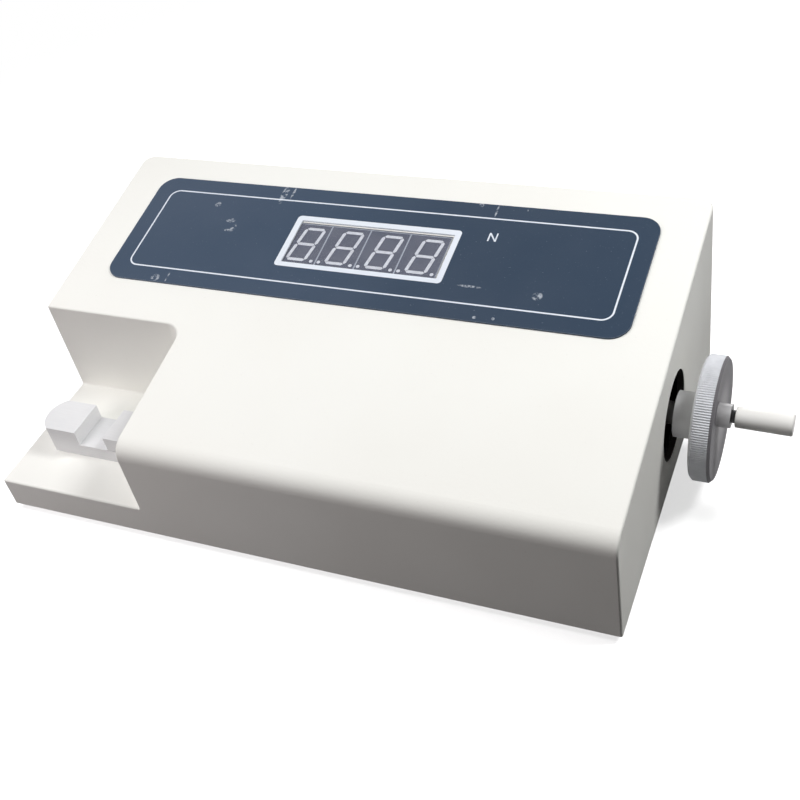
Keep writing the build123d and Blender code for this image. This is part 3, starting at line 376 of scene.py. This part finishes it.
film = Finish("panel_film", roughness=0.42, Specular_IOR_Level=0.22)
film_x = film.times(film.less(film.along(ALONG), LEFT), 1000.0)
film_s = film.times(film.less(film.along(UP_SLOPE), on_slope(0, 0).dot(UP_SLOPE)), 1000.0)


def rounded_frame(box, radius):
    """Distance from a rounded rectangle on the film, negative inside it."""
    reach = []
    for value, low, high in ((film_x, *box[:2]), (film_s, *box[2:])):
        from_middle = film.math("ABSOLUTE", film.less(value, (low + high) / 2))
        reach.append(film.less(from_middle, (high - low) / 2 - radius))
    outside = [film.math("POWER", film.math("MAXIMUM", value, 0.0), 2.0) for value in reach]
    corner = film.math("SQRT", film.math("ADD", *outside))
    inner = film.math("MINIMUM", film.math("MAXIMUM", *reach), 0.0)
    return film.less(film.math("ADD", corner, inner), radius)


def film_spot(x, s, width, height):
    """1 in the middle of a spot on the film and 0 outside it."""
    reach = [
        film.math("POWER", film.math("DIVIDE", film.less(value, middle), half), 2.0)
        for value, middle, half in ((film_x, x, width), (film_s, s, height))
    ]
    return film.ramp(film.math("ADD", *reach), 1.0, 0.4)


line = film.ramp(film.math("ABSOLUTE", rounded_frame(LINE_BOX, LINE_CORNER)), LINE_EDGE, LINE_CORE)
window_frame = film.ramp(rounded_frame(WINDOW_BOX, WINDOW_CORNER), 0.10, -0.10)
print_mask = film.math("MAXIMUM", line, window_frame)
tone = film.ramp(film.noise(14.0), 0.3, 0.7)
plain_ink = film.blend(tone, (0.021, 0.041, 0.074), (0.032, 0.052, 0.086))
sheen_ink = film.blend(tone, (0.035, 0.060, 0.102), (0.047, 0.072, 0.116))
# Painted sheen: the ink is lighter towards the left.
ink = film.blend(film.ramp(film_x, SHEEN_FROM, SHEEN_TO), plain_ink, sheen_ink)
dust = film.times(film.ramp(film.noise(1300.0, 2.0), 0.70, 0.78), 0.35)
worn = film.times(film.edges(0.0006), 0.35)
ink = film.blend(film.math("MAXIMUM", dust, worn), ink, (0.30, 0.34, 0.40))
scuffed = film_spot(*SCUFFS[0])
for spot in SCUFFS[1:]:
    scuffed = film.math("MAXIMUM", scuffed, film_spot(*spot))
scuffed = film.times(scuffed, film.ramp(film.noise(420.0, 3.0, 0.7), 0.42, 0.60))
ink = film.blend(film.times(scuffed, 0.75), ink, (0.50, 0.54, 0.60))
printed = film.blend(tone, (0.80, 0.85, 0.92), (0.74, 0.79, 0.88))
film.colour(film.blend(print_mask, ink, printed))
film.rough(film.noise(260.0), 0.41, 0.46)
film.bump(film.noise(2200.0, 2.0), 0.12, 0.0002)
film.bump(print_mask, 0.15, 0.00002)
dress(film, "panel_overlay")

# ---------------------------------------------------------------- display window
# A clear pane of the same polyester, let into the film over the digits. It is smooth, and slightly hazed by
# wiping.
clear = Finish("clear_window", roughness=0.16, Specular_IOR_Level=0.3, Alpha=0.06)
haze = clear.ramp(clear.noise(300.0), 0.55, 0.8)
clear.colour(clear.blend(haze, (0.60, 0.62, 0.66), (0.85, 0.87, 0.90)))
clear.rough(clear.noise(90.0), 0.12, 0.24)
clear.bump(clear.noise(2200.0, 2.0), 0.05, 0.0001)
dress(clear, "display_window")

# ---------------------------------------------------------------- digit packages
# Four cast resin LED packages side by side, soldered to the display board. Their faces are dark grey, pale
# at the rims where the case's shell shows, and pale at the seams as a painted highlight on their edges.
digit_boxes = [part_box(f"led_digit_{number}") for number in (1, 2, 3, 4)]
first_seam = digit_boxes[0][0].x
PITCH = (digit_boxes[3][0].x - first_seam) / 3 / mm
FACE_MIDDLE = on_slope(0, 128.4).dot(UP_SLOPE)
RIM_STARTS, RIM_FULL = 13.35 * mm, 13.50 * mm
SEAM_STARTS, SEAM_FULL = 0.478, 0.488
resin = Finish("digit_resin", roughness=0.5, Specular_IOR_Level=0.35)
cell = resin.times(resin.less(resin.along(ALONG), first_seam), 1000.0 / PITCH)
from_cell_middle = resin.math("ABSOLUTE", resin.less(resin.math("FRACT", cell), 0.5))
# Painted highlight: thin pale lines along the packages' seams.
seam_highlight = resin.ramp(from_cell_middle, SEAM_STARTS, SEAM_FULL)
from_face_middle = resin.math("ABSOLUTE", resin.less(resin.along(UP_SLOPE), FACE_MIDDLE))
face_rim = resin.ramp(from_face_middle, RIM_STARTS, RIM_FULL)
face_tone = resin.mottled(resin.noise(120.0, 4.0), (0.036, 0.045, 0.084), (0.056, 0.065, 0.106))
resin.colour(resin.blend(resin.math("MAXIMUM", seam_highlight, face_rim), face_tone, (0.38, 0.42, 0.50)))
resin.rough(resin.noise(200.0, 2.0), 0.42, 0.60)
resin.bump(resin.noise(800.0, 2.0), 0.08, 0.0002)
dress(resin, "led_digit_1", "led_digit_2", "led_digit_3", "led_digit_4")

# ---------------------------------------------------------------- light bars
# Each package has seven milky light bars with pointed ends, which lean to the right, and two round points at
# its foot. They are cast flush into its face. Sizes are in millimetres on the slope.
LEAN = math.tan(math.radians(8.0))
BAR_WIDTH, SPAN_X, SPAN_S, SLIT = 1.6, 9.5, 10.0, 0.22
FIGURE_SHIFT, FIGURE_S = 1.05, 129.0
POINT_OFFSETS, POINT_S, POINT_RADIUS = (-9.5, 6.9), 118.7, 0.9
BAR_LOW, BAR_HIGH = -0.295, -0.20


def new_piece(name, mesh, finish, body):
    """Puts a bmesh into the scene as a piece that rides on a body."""
    bmesh.ops.recalc_face_normals(mesh, faces=mesh.faces)
    data = bpy.data.meshes.new(name)
    mesh.to_mesh(data)
    mesh.free()
    data.materials.append(finish.material)
    piece = bpy.data.objects.new(name, data)
    scene.collection.objects.link(piece)
    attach(piece, body)
    return piece


def corners_of(parts):
    """The vertices among the parts of a bmesh."""
    return [part for part in parts if isinstance(part, bmesh.types.BMVert)]


def thicken(mesh, faces, direction):
    """Draws flat faces out into a slab."""
    made = bmesh.ops.extrude_face_region(mesh, geom=faces)["geom"]
    bmesh.ops.translate(mesh, vec=direction, verts=corners_of(made))


def slab(mesh, outline, low, high):
    """Adds a flat slab on the slope, from an outline of (x, s) points, between two heights over it."""
    face = mesh.faces.new([mesh.verts.new(on_slope(x, s, low)) for x, s in outline])
    thicken(mesh, [face], OFF_SLOPE * (high - low) * mm)


def light_bar(mesh, start, end, middle_x):
    """Adds one bar with pointed ends between two joints of a figure, leant over."""
    run = (end - start).normalized()
    half, side = run * BAR_WIDTH / 2, Vector((-run.y, run.x)) * BAR_WIDTH / 2
    start, end = start + run * SLIT, end - run * SLIT
    outline = (start, start + half - side, end - half - side, end, end - half + side, start + half + side)
    slab(mesh, [(middle_x + p.x + p.y * LEAN, FIGURE_S + p.y) for p in outline], BAR_LOW, BAR_HIGH)


milky = Finish("light_bar", roughness=0.4, Specular_IOR_Level=0.45)
milky.colour(milky.mottled(milky.noise(500.0), (0.61, 0.63, 0.70), (0.73, 0.76, 0.83)))
milky.rough(milky.noise(300.0, 2.0), 0.34, 0.48)
milky.bump(milky.noise(900.0, 2.0), 0.05, 0.0001)
for number, (low, high) in enumerate(digit_boxes, 1):
    bars = bmesh.new()
    middle_x = ((low.x + high.x) / 2 - LEFT) / mm + FIGURE_SHIFT
    joint = {
        (side, row): Vector((side * SPAN_X / 2, row * SPAN_S))
        for side in (-1, 1) for row in (-1, 0, 1)
    }
    for row in (-1, 0, 1):
        light_bar(bars, joint[-1, row], joint[1, row], middle_x)
    for side in (-1, 1):
        light_bar(bars, joint[side, -1], joint[side, 0], middle_x)
        light_bar(bars, joint[side, 0], joint[side, 1], middle_x)
    for offset in POINT_OFFSETS:
        place = on_slope(middle_x + offset, POINT_S, BAR_LOW)
        lie = Matrix.Translation(place) @ Matrix.Rotation(SLOPE, 4, "X")
        disc = bmesh.ops.create_circle(bars, cap_ends=True, segments=24, radius=POINT_RADIUS * mm, matrix=lie)
        thicken(bars, disc["verts"][0].link_faces[:], OFF_SLOPE * (BAR_HIGH - BAR_LOW) * mm)
    new_piece(f"light_bars_{number}", bars, milky, "housing")

# ---------------------------------------------------------------- unit mark
# One plain letter to the right of the window, printed on the film in the same pale ink. It is made of two
# uprights and the stroke between them.
LETTER_X, LETTER_S, LETTER_WIDTH, LETTER_HEIGHT = 205.6, 141.4, 4.2, 5.2
STROKE, SLANT = 0.72, 1.25
FILM_TOP, INK_TOP = 0.80, 0.815
left_edge, right_edge = STROKE, LETTER_WIDTH - STROKE
mark_ink = Finish("mark_ink", roughness=0.45)
mark_ink.colour(mark_ink.mottled(mark_ink.noise(400.0), (0.62, 0.68, 0.76), (0.78, 0.83, 0.90)))
letter = bmesh.new()
for outline in (
    ((0, 0), (STROKE, 0), (STROKE, LETTER_HEIGHT), (0, LETTER_HEIGHT)),
    ((left_edge, LETTER_HEIGHT), (left_edge, LETTER_HEIGHT - SLANT), (right_edge, 0), (right_edge, SLANT)),
    ((right_edge, 0), (LETTER_WIDTH, 0), (LETTER_WIDTH, LETTER_HEIGHT), (right_edge, LETTER_HEIGHT)),
):
    slab(letter, [(LETTER_X + x, LETTER_S + s) for x, s in outline], FILM_TOP, INK_TOP)
new_piece("unit_mark", letter, mark_ink, "housing")


# ---------------------------------------------------------------- jaws
# The anvil and the moving jaw are milled bars with a pale, fine matt finish. Fine tool lines run along
# them and their corners are just broken.
def soften(*names):
    """Breaks the sharp edges of CAD nodes a little."""
    for name in names:
        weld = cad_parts[name].modifiers.new("weld", "WELD")
        weld.merge_threshold = 0.00001
        round_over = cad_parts[name].modifiers.new("broken_edges", "BEVEL")
        round_over.width = 0.0003
        round_over.segments = 3
        round_over.limit_method = "ANGLE"
        round_over.angle_limit = math.radians(40)
        round_over.harden_normals = True


jaw = Finish("jaw_finish", roughness=0.5, Specular_IOR_Level=0.25)
tool_lines = jaw.noise(1.0, 3.0, 0.6, (60, 1500, 1500))
jaw_tone = jaw.blend(jaw.ramp(tool_lines, 0.35, 0.65), (0.785, 0.79, 0.80), (0.805, 0.81, 0.82))
handled = jaw.times(jaw.ramp(jaw.noise(70.0, 4.0), 0.5, 0.8), 0.25)
jaw_tone = jaw.blend(handled, jaw_tone, (0.69, 0.695, 0.72))
jaw.colour(jaw.blend(jaw.times(jaw.edges(0.0005), 0.4), jaw_tone, (0.86, 0.86, 0.88)))
jaw.rough(tool_lines, 0.48, 0.56)
jaw.bump(tool_lines, 0.012, 0.0001)
dress(jaw, "anvil_bar", "moving_jaw")
soften("anvil_bar", "moving_jaw")

# ---------------------------------------------------------------- handwheel
# Turned from one bar: a plain hub, and a rim with straight flutes all round. The rim is bright and the outer
# face is a duller turned surface with fine rings about its middle; its colour is painted darker still, as a
# painted dark reflection, and darker outwards with a lighter middle, as painted shade and highlight.
FACE_DEPTH, HUB_TO_RIM = 1.2 * mm, 26.0 * mm
GREY_SHINE = (0.45, 0.45, 0.46, 1.0)
wheel = Finish("turned_metal", roughness=0.5, metallic=0.12, Specular_IOR_Level=0.2, Specular_Tint=GREY_SHINE)
from_axis = wheel.from_line(AXIS_Y, AXIS_Z)
ring_noise = wheel.node("ShaderNodeTexNoise", noise_dimensions="1D")
ring_noise.inputs["Scale"].default_value = 5200.0
ring_noise.inputs["Detail"].default_value = 3.0
wheel.link(from_axis, ring_noise.inputs["W"])
rings = ring_noise.outputs["Fac"]
face_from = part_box("handwheel")[1].x - FACE_DEPTH
on_face = wheel.ramp(wheel.along(ALONG), face_from - 0.1 * mm, face_from + 0.1 * mm)
on_rim = wheel.ramp(from_axis, HUB_TO_RIM - 0.3 * mm, HUB_TO_RIM + 0.3 * mm)
bright = wheel.mottled(wheel.noise(220.0, 4.0), (0.63, 0.64, 0.67), (0.71, 0.72, 0.75))
# Painted shade and highlight: the face is darker outwards and lighter in the middle, and darker overall as a
# painted dark reflection.
dull_face_and_painted_shade = wheel.blend(wheel.ramp(from_axis, 0.020, 0.006), (0.14, 0.135, 0.145), (0.36, 0.35, 0.36))
dull_face_and_painted_shade = wheel.blend(wheel.times(wheel.ramp(rings, 0.3, 0.7), 0.30), dull_face_and_painted_shade, (0.40, 0.39, 0.40))
# The face's edges are lighter: partly wear, partly a painted highlight.
dull_face_and_painted_shade = wheel.blend(wheel.times(wheel.edges(0.0005), 0.35), dull_face_and_painted_shade, (0.55, 0.55, 0.56))
hub_tone = wheel.mottled(wheel.noise(90.0, 4.0), (0.60, 0.60, 0.60), (0.68, 0.68, 0.68))
wheel.colour(wheel.blend(on_face, wheel.blend(on_rim, hub_tone, bright), dull_face_and_painted_shade))
wheel.feed("Metallic", wheel.ramp(wheel.math("MAXIMUM", on_rim, on_face), 0.0, 1.0, 0.45, 0.12))
wheel.feed("Specular IOR Level", wheel.ramp(on_face, 0.0, 1.0, 0.2, 0.06))
wheel.rough(rings, 0.50, 0.62)
wheel.bump(rings, 0.12, 0.0002)
dress(wheel, "handwheel")

# ---------------------------------------------------------------- crank pin
# A steel pin pressed into the rim. It carries a grey collar on the wheel's face, and is near black from
# just before where the grip starts.
NECK = 1.7 * mm
neck_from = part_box("crank_grip")[0].x - NECK
pin = Finish("bright_steel", roughness=0.36, metallic=0.3, Specular_Tint=(0.5, 0.5, 0.5, 1.0))
pin_tone = pin.mottled(pin.noise(300.0), (0.40, 0.395, 0.40), (0.44, 0.435, 0.44))
dark_neck = pin.ramp(pin.along(ALONG), neck_from - 0.1 * mm, neck_from + 0.1 * mm)
pin.colour(pin.blend(dark_neck, pin_tone, (0.02, 0.02, 0.022)))
pin.rough(pin.noise(600.0, 2.0), 0.34, 0.42)
pin.bump(pin.noise(1500.0, 2.0), 0.05, 0.0001)
dress(pin, "crank_pin")

# ---------------------------------------------------------------- grip
# A moulded plastic sleeve that turns freely on the pin. It is off-white, with the dull shine of plastic that
# has been held for years, and a little soiled by hands.
ivory = Finish("grip_plastic", roughness=0.45, Specular_IOR_Level=0.25)
ivory_tone = ivory.mottled(ivory.noise(40.0), (0.87, 0.86, 0.83), (0.92, 0.91, 0.89))
soil = ivory.times(ivory.ramp(ivory.noise(110.0, 5.0, 0.6), 0.50, 0.75), 0.35)
ivory.colour(ivory.blend(soil, ivory_tone, (0.66, 0.63, 0.58)))
ivory.rough(ivory.noise(160.0), 0.38, 0.54)
ivory.bump(ivory.noise(500.0, 2.0), 0.05, 0.0002)
dress(ivory, "crank_grip")

# ---------------------------------------------------------------- base plate
# Zinc-plated sheet inside the cover's skirt, with the large crystals of a hot-dipped coat. The transformer's
# clamp is bent from the same sheet.
zinc = Finish("zinc_plate", roughness=0.40, metallic=0.85)
spangle = zinc.node("ShaderNodeTexVoronoi", feature="F1")
spangle.inputs["Scale"].default_value = 140.0
zinc.link(zinc.place, spangle.inputs["Vector"])
spangle_tone = zinc.node("ShaderNodeSeparateColor")
zinc.link(spangle.outputs["Color"], spangle_tone.inputs[0])
zinc.colour(zinc.blend(spangle_tone.outputs[0], (0.48, 0.49, 0.49), (0.60, 0.60, 0.59)))
zinc.feed("Roughness", zinc.ramp(spangle_tone.outputs[1], 0.0, 1.0, 0.32, 0.52))
zinc.bump(zinc.noise(260.0), 0.06, 0.0003)
dress(zinc, "base_plate", "transformer_clamp")

# ---------------------------------------------------------------- feet
# Four moulded black rubber feet, each held under the plate by one screw and its nut. They are dusty and have
# the slight grain of their mould.
rubber = Finish("foot_rubber", roughness=0.75, Specular_IOR_Level=0.3)
dusty = rubber.ramp(rubber.noise(300.0, 4.0), 0.4, 0.7)
rubber.colour(rubber.blend(dusty, (0.020, 0.020, 0.021), (0.055, 0.053, 0.050)))
rubber.rough(rubber.noise(200.0), 0.66, 0.86)
rubber.bump(rubber.noise(900.0), 0.20, 0.0003)
dress(rubber, "rubber_feet")


# ---------------------------------------------------------------- blocks, rail and rods
# The mechanism's blocks and rail are milled aluminium, and the two guide rods ground steel. The bearing
# block and the thrust collar are near-black steel, as painted shade for the dark seen through the side hole.
def metal_finish(name, dark, light, roughness, grain, metallic=0.9):
    """A metal with tool marks along one direction and a little wear on its edges."""
    made = Finish(name, roughness=roughness, metallic=metallic)
    marks = made.noise(1.0, 3.0, 0.6, grain)
    brighter = tuple(min(1.0, value * 1.25) for value in light)
    made.colour(made.blend(made.times(made.edges(0.0004), 0.5), made.mottled(marks, dark, light), brighter))
    made.rough(marks, roughness - 0.06, roughness + 0.10)
    made.bump(marks, 0.08, 0.0002)
    return made


milled = metal_finish("milled_aluminium", (0.40, 0.40, 0.41), (0.52, 0.52, 0.53), 0.38, (80, 900, 900))
dress(milled, "load_cell", "carriage", "mechanism_rail", "end_block", "anvil_support")
# Painted shade: the bearing block and the thrust collar are made near black.
shade_steel_low, shade_steel_high = (0.022, 0.020, 0.020), (0.032, 0.029, 0.028)
near_black_shade = metal_finish("blackened_steel", shade_steel_low, shade_steel_high, 0.5, (300, 300, 300), 0.4)
dress(near_black_shade, "bearing_block", "thrust_collar")
ground = metal_finish("ground_steel", (0.42, 0.42, 0.43), (0.52, 0.52, 0.53), 0.22, (2500, 200, 200))
dress(ground, "guide_rods")

# ---------------------------------------------------------------- lead screw
# Oiled steel, with a rolled thread where it is thickest and plain ends that run in the bushes. At each turn
# of the wheel the nut follows the thread by its pitch.
THREAD_PITCH = 3.0 * mm
THREAD_STARTS, THREAD_FULL = 5.4 * mm, 5.7 * mm
oiled = Finish("oiled_steel", roughness=0.32, metallic=0.8)
up, across = oiled.less(oiled.along((0, 0, 1)), AXIS_Z), oiled.less(oiled.along((0, 1, 0)), AXIS_Y)
turned = oiled.math("DIVIDE", oiled.math("ARCTAN2", up, across), 2 * math.pi)
turns_along = oiled.math("DIVIDE", oiled.along(ALONG), THREAD_PITCH)
groove = oiled.less(oiled.math("FRACT", oiled.math("ADD", turns_along, turned)), 0.5)
threaded = oiled.ramp(oiled.from_line(AXIS_Y, AXIS_Z), THREAD_STARTS, THREAD_FULL)
groove = oiled.times(oiled.math("ABSOLUTE", groove), threaded)
oiled.colour(oiled.blend(oiled.ramp(groove, 0.1, 0.45), (0.14, 0.135, 0.13), (0.24, 0.235, 0.23)))
oiled.rough(oiled.noise(300.0), 0.28, 0.40)
oiled.bump(groove, 0.9, 0.0008)
dress(oiled, "lead_screw")

# ---------------------------------------------------------------- nut and bushes
# Turned from oiled bearing bronze: the screw's nut, the flanged bushes that carry the screw's ends, and the
# carriage's own bushes on the guide rods.
bronze = metal_finish("oiled_bronze", (0.30, 0.19, 0.09), (0.42, 0.28, 0.14), 0.34, (900, 900, 900))
dress(bronze, "lead_nut", "guide_bushes", "screw_bushes")

# ---------------------------------------------------------------- screws
# Plated steel. Those that show from outside are pan-head screws with cross recesses, and take the place of
# the CAD's plain ones; those inside keep the plain form. The shares are of the head's radius and height.
DOME_SHARES, DOME_FALL = (1.0, 0.92, 0.76, 0.60), 0.45
RECESS_REACH, RECESS_ARM, RECESS_END = 0.54, 0.15, 0.95
RECESS_DEPTH, RECESS_TAPER = 0.6, 0.82
plated = metal_finish("plated_screws", (0.42, 0.42, 0.41), (0.55, 0.55, 0.54), 0.30, (700, 700, 700))
dress(
    plated, "anvil_screws", "jaw_screws", "cell_screws", "nut_screws", "set_screws", "feet_nuts",
    "display_screws", "main_board_screws", "transformer_screws",
)


def draw_ring(mesh, edges, profile):
    """Draws a ring of edges on through (radius, height) steps, and gives its last ring."""
    for radius, height in profile:
        made = bmesh.ops.extrude_edge_only(mesh, edges=edges)["geom"]
        ring = corners_of(made)
        for corner in ring:
            corner.co = Vector((corner.co.x, corner.co.y, 0)).normalized() * radius + Vector((0, 0, height))
        edges = [
            part for part in made
            if isinstance(part, bmesh.types.BMEdge) and all(end in ring for end in part.verts)
        ]
    return edges


def recess_outline(reach, arm, height):
    """The twelve corners of a cross in a screw's crown, a little lower at its ends."""
    low = height * RECESS_END
    quarter = (Vector((arm, reach, low)), Vector((arm, arm, height)), Vector((reach, arm, low)))
    return [Matrix.Rotation(-turn * math.pi / 2, 3, "Z") @ point for turn in range(4) for point in quarter]


def screw_set(name, places, outward, head, height, shank, length):
    """Replaces a CAD node of plain screws by pan-head screws with cross recesses, sizes in millimetres."""
    mesh = bmesh.new()
    bmesh.ops.create_circle(mesh, segments=32, radius=head)
    head_rim = list(mesh.edges)
    dome = [(head * share, height * (1 - DOME_FALL * share**3)) for share in DOME_SHARES]
    crown = draw_ring(mesh, head_rim, dome)
    tip = draw_ring(mesh, head_rim, ((shank, 0), (shank, 0.4 * shank - length), (0.7 * shank, -length)))
    bmesh.ops.contextual_create(mesh, geom=tip)
    outline = recess_outline(RECESS_REACH * head, RECESS_ARM * head, height)
    cross = mesh.faces.new([mesh.verts.new(corner) for corner in outline])
    bmesh.ops.bridge_loops(mesh, edges=crown + list(cross.edges))
    recess_floor = corners_of(bmesh.ops.extrude_face_region(mesh, geom=[cross])["geom"])
    bmesh.ops.scale(mesh, vec=(RECESS_TAPER, RECESS_TAPER, 1), verts=recess_floor)
    bmesh.ops.translate(mesh, vec=(0, 0, -RECESS_DEPTH * height), verts=recess_floor)
    bmesh.ops.recalc_face_normals(mesh, faces=mesh.faces)
    bmesh.ops.transform(mesh, matrix=Matrix.Scale(mm, 4), verts=mesh.verts)
    first = list(mesh.verts) + list(mesh.edges) + list(mesh.faces)
    aim = outward.to_track_quat("Z", "Y").to_matrix().to_4x4()
    for number, place in enumerate(places):
        made = bmesh.ops.duplicate(mesh, geom=first)["geom"]
        stand = Matrix.Translation(Vector(place) * mm) @ aim @ Matrix.Rotation(0.4 + number, 4, "Z")
        bmesh.ops.transform(mesh, matrix=stand, verts=corners_of(made))
    bmesh.ops.delete(mesh, geom=first, context="VERTS")
    piece = new_piece(f"{name}_with_recess", mesh, plated, "housing")
    piece.data.polygons.foreach_set("use_smooth", [True] * len(piece.data.polygons))
    piece.data.set_sharp_from_angle(angle=math.radians(32))
    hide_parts(name)


DOWN, BACKWARD = Vector((0, 0, -1)), Vector((0, 1, 0))
under_cover = [(x, y, 4.0) for x in (-167.6, -24.6, 118.4) for y in (-86, 78)]
under_feet = [(x, y, 2.4) for x in (-152.6, 103.4) for y in (-71, 63)]
under_anvil = [(x, -59.15, 4.0) for x in (-64.6, -49.6)]
under_blocks = [(x, y, 4.0) for x in (-78.6, 94.4) for y in (-13, 15)]
beside_inlet = [(x, 87.5, 36.0) for x in (-154.6, -114.6)]
screw_set("base_screws", under_cover, DOWN, head=3.3, height=2.0, shank=1.75, length=10.0)
screw_set("feet_screws", under_feet, DOWN, head=2.75, height=2.0, shank=1.5, length=6.3)
screw_set("frame_screws", under_anvil + under_blocks, DOWN, head=2.75, height=2.0, shank=1.5, length=12.0)
screw_set("inlet_screws", beside_inlet, BACKWARD, head=2.75, height=2.0, shank=1.5, length=8.5)

# ---------------------------------------------------------------- fittings in the back wall
# The mains inlet, the rocker switch and the fuse holder are black glass-filled mouldings, clipped or screwed
# into the wall. The chips and plugs on the boards are of the same stuff.
black = Finish("black_moulding", roughness=0.42, Specular_IOR_Level=0.45)
glassy = black.ramp(black.noise(260.0, 4.0), 0.4, 0.75)
black.colour(black.blend(glassy, (0.016, 0.016, 0.017), (0.040, 0.040, 0.041)))
black.rough(black.noise(120.0), 0.34, 0.54)
black.bump(black.noise(1600.0, 2.0), 0.10, 0.0002)
dress(
    black, "power_inlet", "switch_housing", "power_rocker", "fuse_holder", "fuse_cap", "fuse_nut",
    "main_board_chips", "display_connector", "main_board_connector",
)
soften("switch_housing", "power_rocker", "fuse_holder")
nickel = metal_finish("nickel_pins", (0.50, 0.49, 0.46), (0.62, 0.61, 0.57), 0.30, (400, 60, 400))
dress(nickel, "inlet_pins")

# ---------------------------------------------------------------- rocker marks
# A ring for off and a stroke for on, printed in white on the two halves of the rocker's hollow face. They tip
# with the rocker. Sizes are in millimetres from its pivot.
REST_TILT = math.radians(9)
HOLLOW = 1.4 / 7.9
MIDDLE_STANDS_OUT = 2.0
OFF_AT, ON_AT = -4.4, 4.4
RING_RADII, STROKE_SIZE, INK = (1.25, 0.85), (0.5, 2.5), 0.03
UP_ROCKER = Vector((0, math.sin(REST_TILT), math.cos(REST_TILT)))
OUT_ROCKER = Vector((0, UP_ROCKER.z, -UP_ROCKER.y))
rocker_low, rocker_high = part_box("power_rocker")
PIVOT = Vector(((rocker_low.x + rocker_high.x) / 2, BACK + 1.0 * mm, 36.0 * mm))


def rocker_half(u):
    """Where a print stands that lies on the rocker's face, u up it from its pivot."""
    rise = math.copysign(HOLLOW, u)
    place = PIVOT + (UP_ROCKER * u + OUT_ROCKER * (MIDDLE_STANDS_OUT + rise * u)) * mm
    up = (UP_ROCKER + OUT_ROCKER * rise).normalized()
    facing = Matrix((-ALONG, up, up.cross(ALONG))).transposed().to_4x4()
    return Matrix.Translation(place) @ facing @ Matrix.Scale(mm, 4)


marks = bmesh.new()
for radius in RING_RADII:
    bmesh.ops.create_circle(marks, segments=32, radius=radius)
bmesh.ops.bridge_loops(marks, edges=list(marks.edges))
thicken(marks, list(marks.faces), Vector((0, 0, INK)))
bmesh.ops.transform(marks, matrix=rocker_half(OFF_AT), verts=marks.verts)
stroke = bmesh.ops.create_cube(marks, size=1.0)["verts"]
stroke_shape = Matrix.Diagonal((*STROKE_SIZE, 2 * INK, 1))
bmesh.ops.transform(marks, matrix=rocker_half(ON_AT) @ stroke_shape, verts=stroke)
white_ink = Finish("rocker_print", roughness=0.5)
white_ink.colour(white_ink.mottled(white_ink.noise(500.0), (0.66, 0.66, 0.63), (0.76, 0.76, 0.73)))
new_piece("rocker_marks", marks, white_ink, "rocker")

# ---------------------------------------------------------------- boards and posts
# Green fibreglass boards with a grid of tracks under their lacquer, screwed to white nylon posts. They are
# closed in.
board = Finish("solder_mask", roughness=0.35)
tracks = board.node("ShaderNodeTexBrick")
tracks.inputs["Scale"].default_value = 260.0
tracks.inputs["Mortar Size"].default_value = 0.03
board.link(board.place, tracks.inputs["Vector"])
board.colour(board.blend(tracks.outputs["Fac"], (0.020, 0.110, 0.045), (0.045, 0.200, 0.085)))
board.rough(board.noise(200.0, 2.0), 0.28, 0.44)
board.bump(tracks.outputs["Fac"], 0.10, 0.0001)
dress(board, "display_board", "main_board")
nylon = Finish("nylon_posts", roughness=0.5)
nylon.colour(nylon.mottled(nylon.noise(300.0), (0.72, 0.71, 0.66), (0.80, 0.79, 0.75)))
nylon.bump(nylon.noise(900.0, 2.0), 0.08, 0.0002)
dress(nylon, "display_posts", "main_board_posts")


# ---------------------------------------------------------------- transformer
# A stack of thin steel laminations round a winding that is wrapped in yellow tape, held down by a zinc clamp.
# It is closed in.
def bands(finish, direction, scale, distortion):
    """Even bands across one axis, from 0 to 1."""
    wave = finish.node("ShaderNodeTexWave", wave_type="BANDS", bands_direction=direction)
    wave.inputs["Scale"].default_value = scale
    wave.inputs["Distortion"].default_value = distortion
    finish.link(finish.place, wave.inputs["Vector"])
    return wave.outputs["Fac"]


stack = Finish("lamination_stack", roughness=0.45, metallic=0.6)
sheets = bands(stack, "Y", 900.0, 0.5)
stack.colour(stack.blend(sheets, (0.11, 0.11, 0.12), (0.23, 0.23, 0.24)))
stack.bump(sheets, 0.25, 0.0002)
dress(stack, "transformer_core")
tape = Finish("winding_tape", roughness=0.4)
layers = bands(tape, "Z", 60.0, 1.5)
tape.colour(tape.blend(layers, (0.52, 0.38, 0.06), (0.64, 0.50, 0.10)))
tape.bump(layers, 0.2, 0.0003)
dress(tape, "transformer_winding")

# ---------------------------------------------------------------- capacitors and cable
# Aluminium cans in dark blue shrink sleeves stand on the main board. A flat grey ribbon cable of many strands
# joins it to the display board. They are closed in.
sleeve = Finish("capacitor_sleeve", roughness=0.3)
sleeve.colour(sleeve.mottled(sleeve.noise(200.0), (0.012, 0.018, 0.045), (0.022, 0.032, 0.070)))
sleeve.bump(sleeve.noise(700.0, 2.0), 0.05, 0.0002)
dress(sleeve, "filter_capacitors")
ribbon = Finish("ribbon_cable", roughness=0.5)
strands = bands(ribbon, "X", 250.0, 0.0)
ribbon.colour(ribbon.blend(strands, (0.26, 0.27, 0.29), (0.44, 0.45, 0.47)))
ribbon.bump(strands, 0.5, 0.0003)
dress(ribbon, "ribbon_cable")
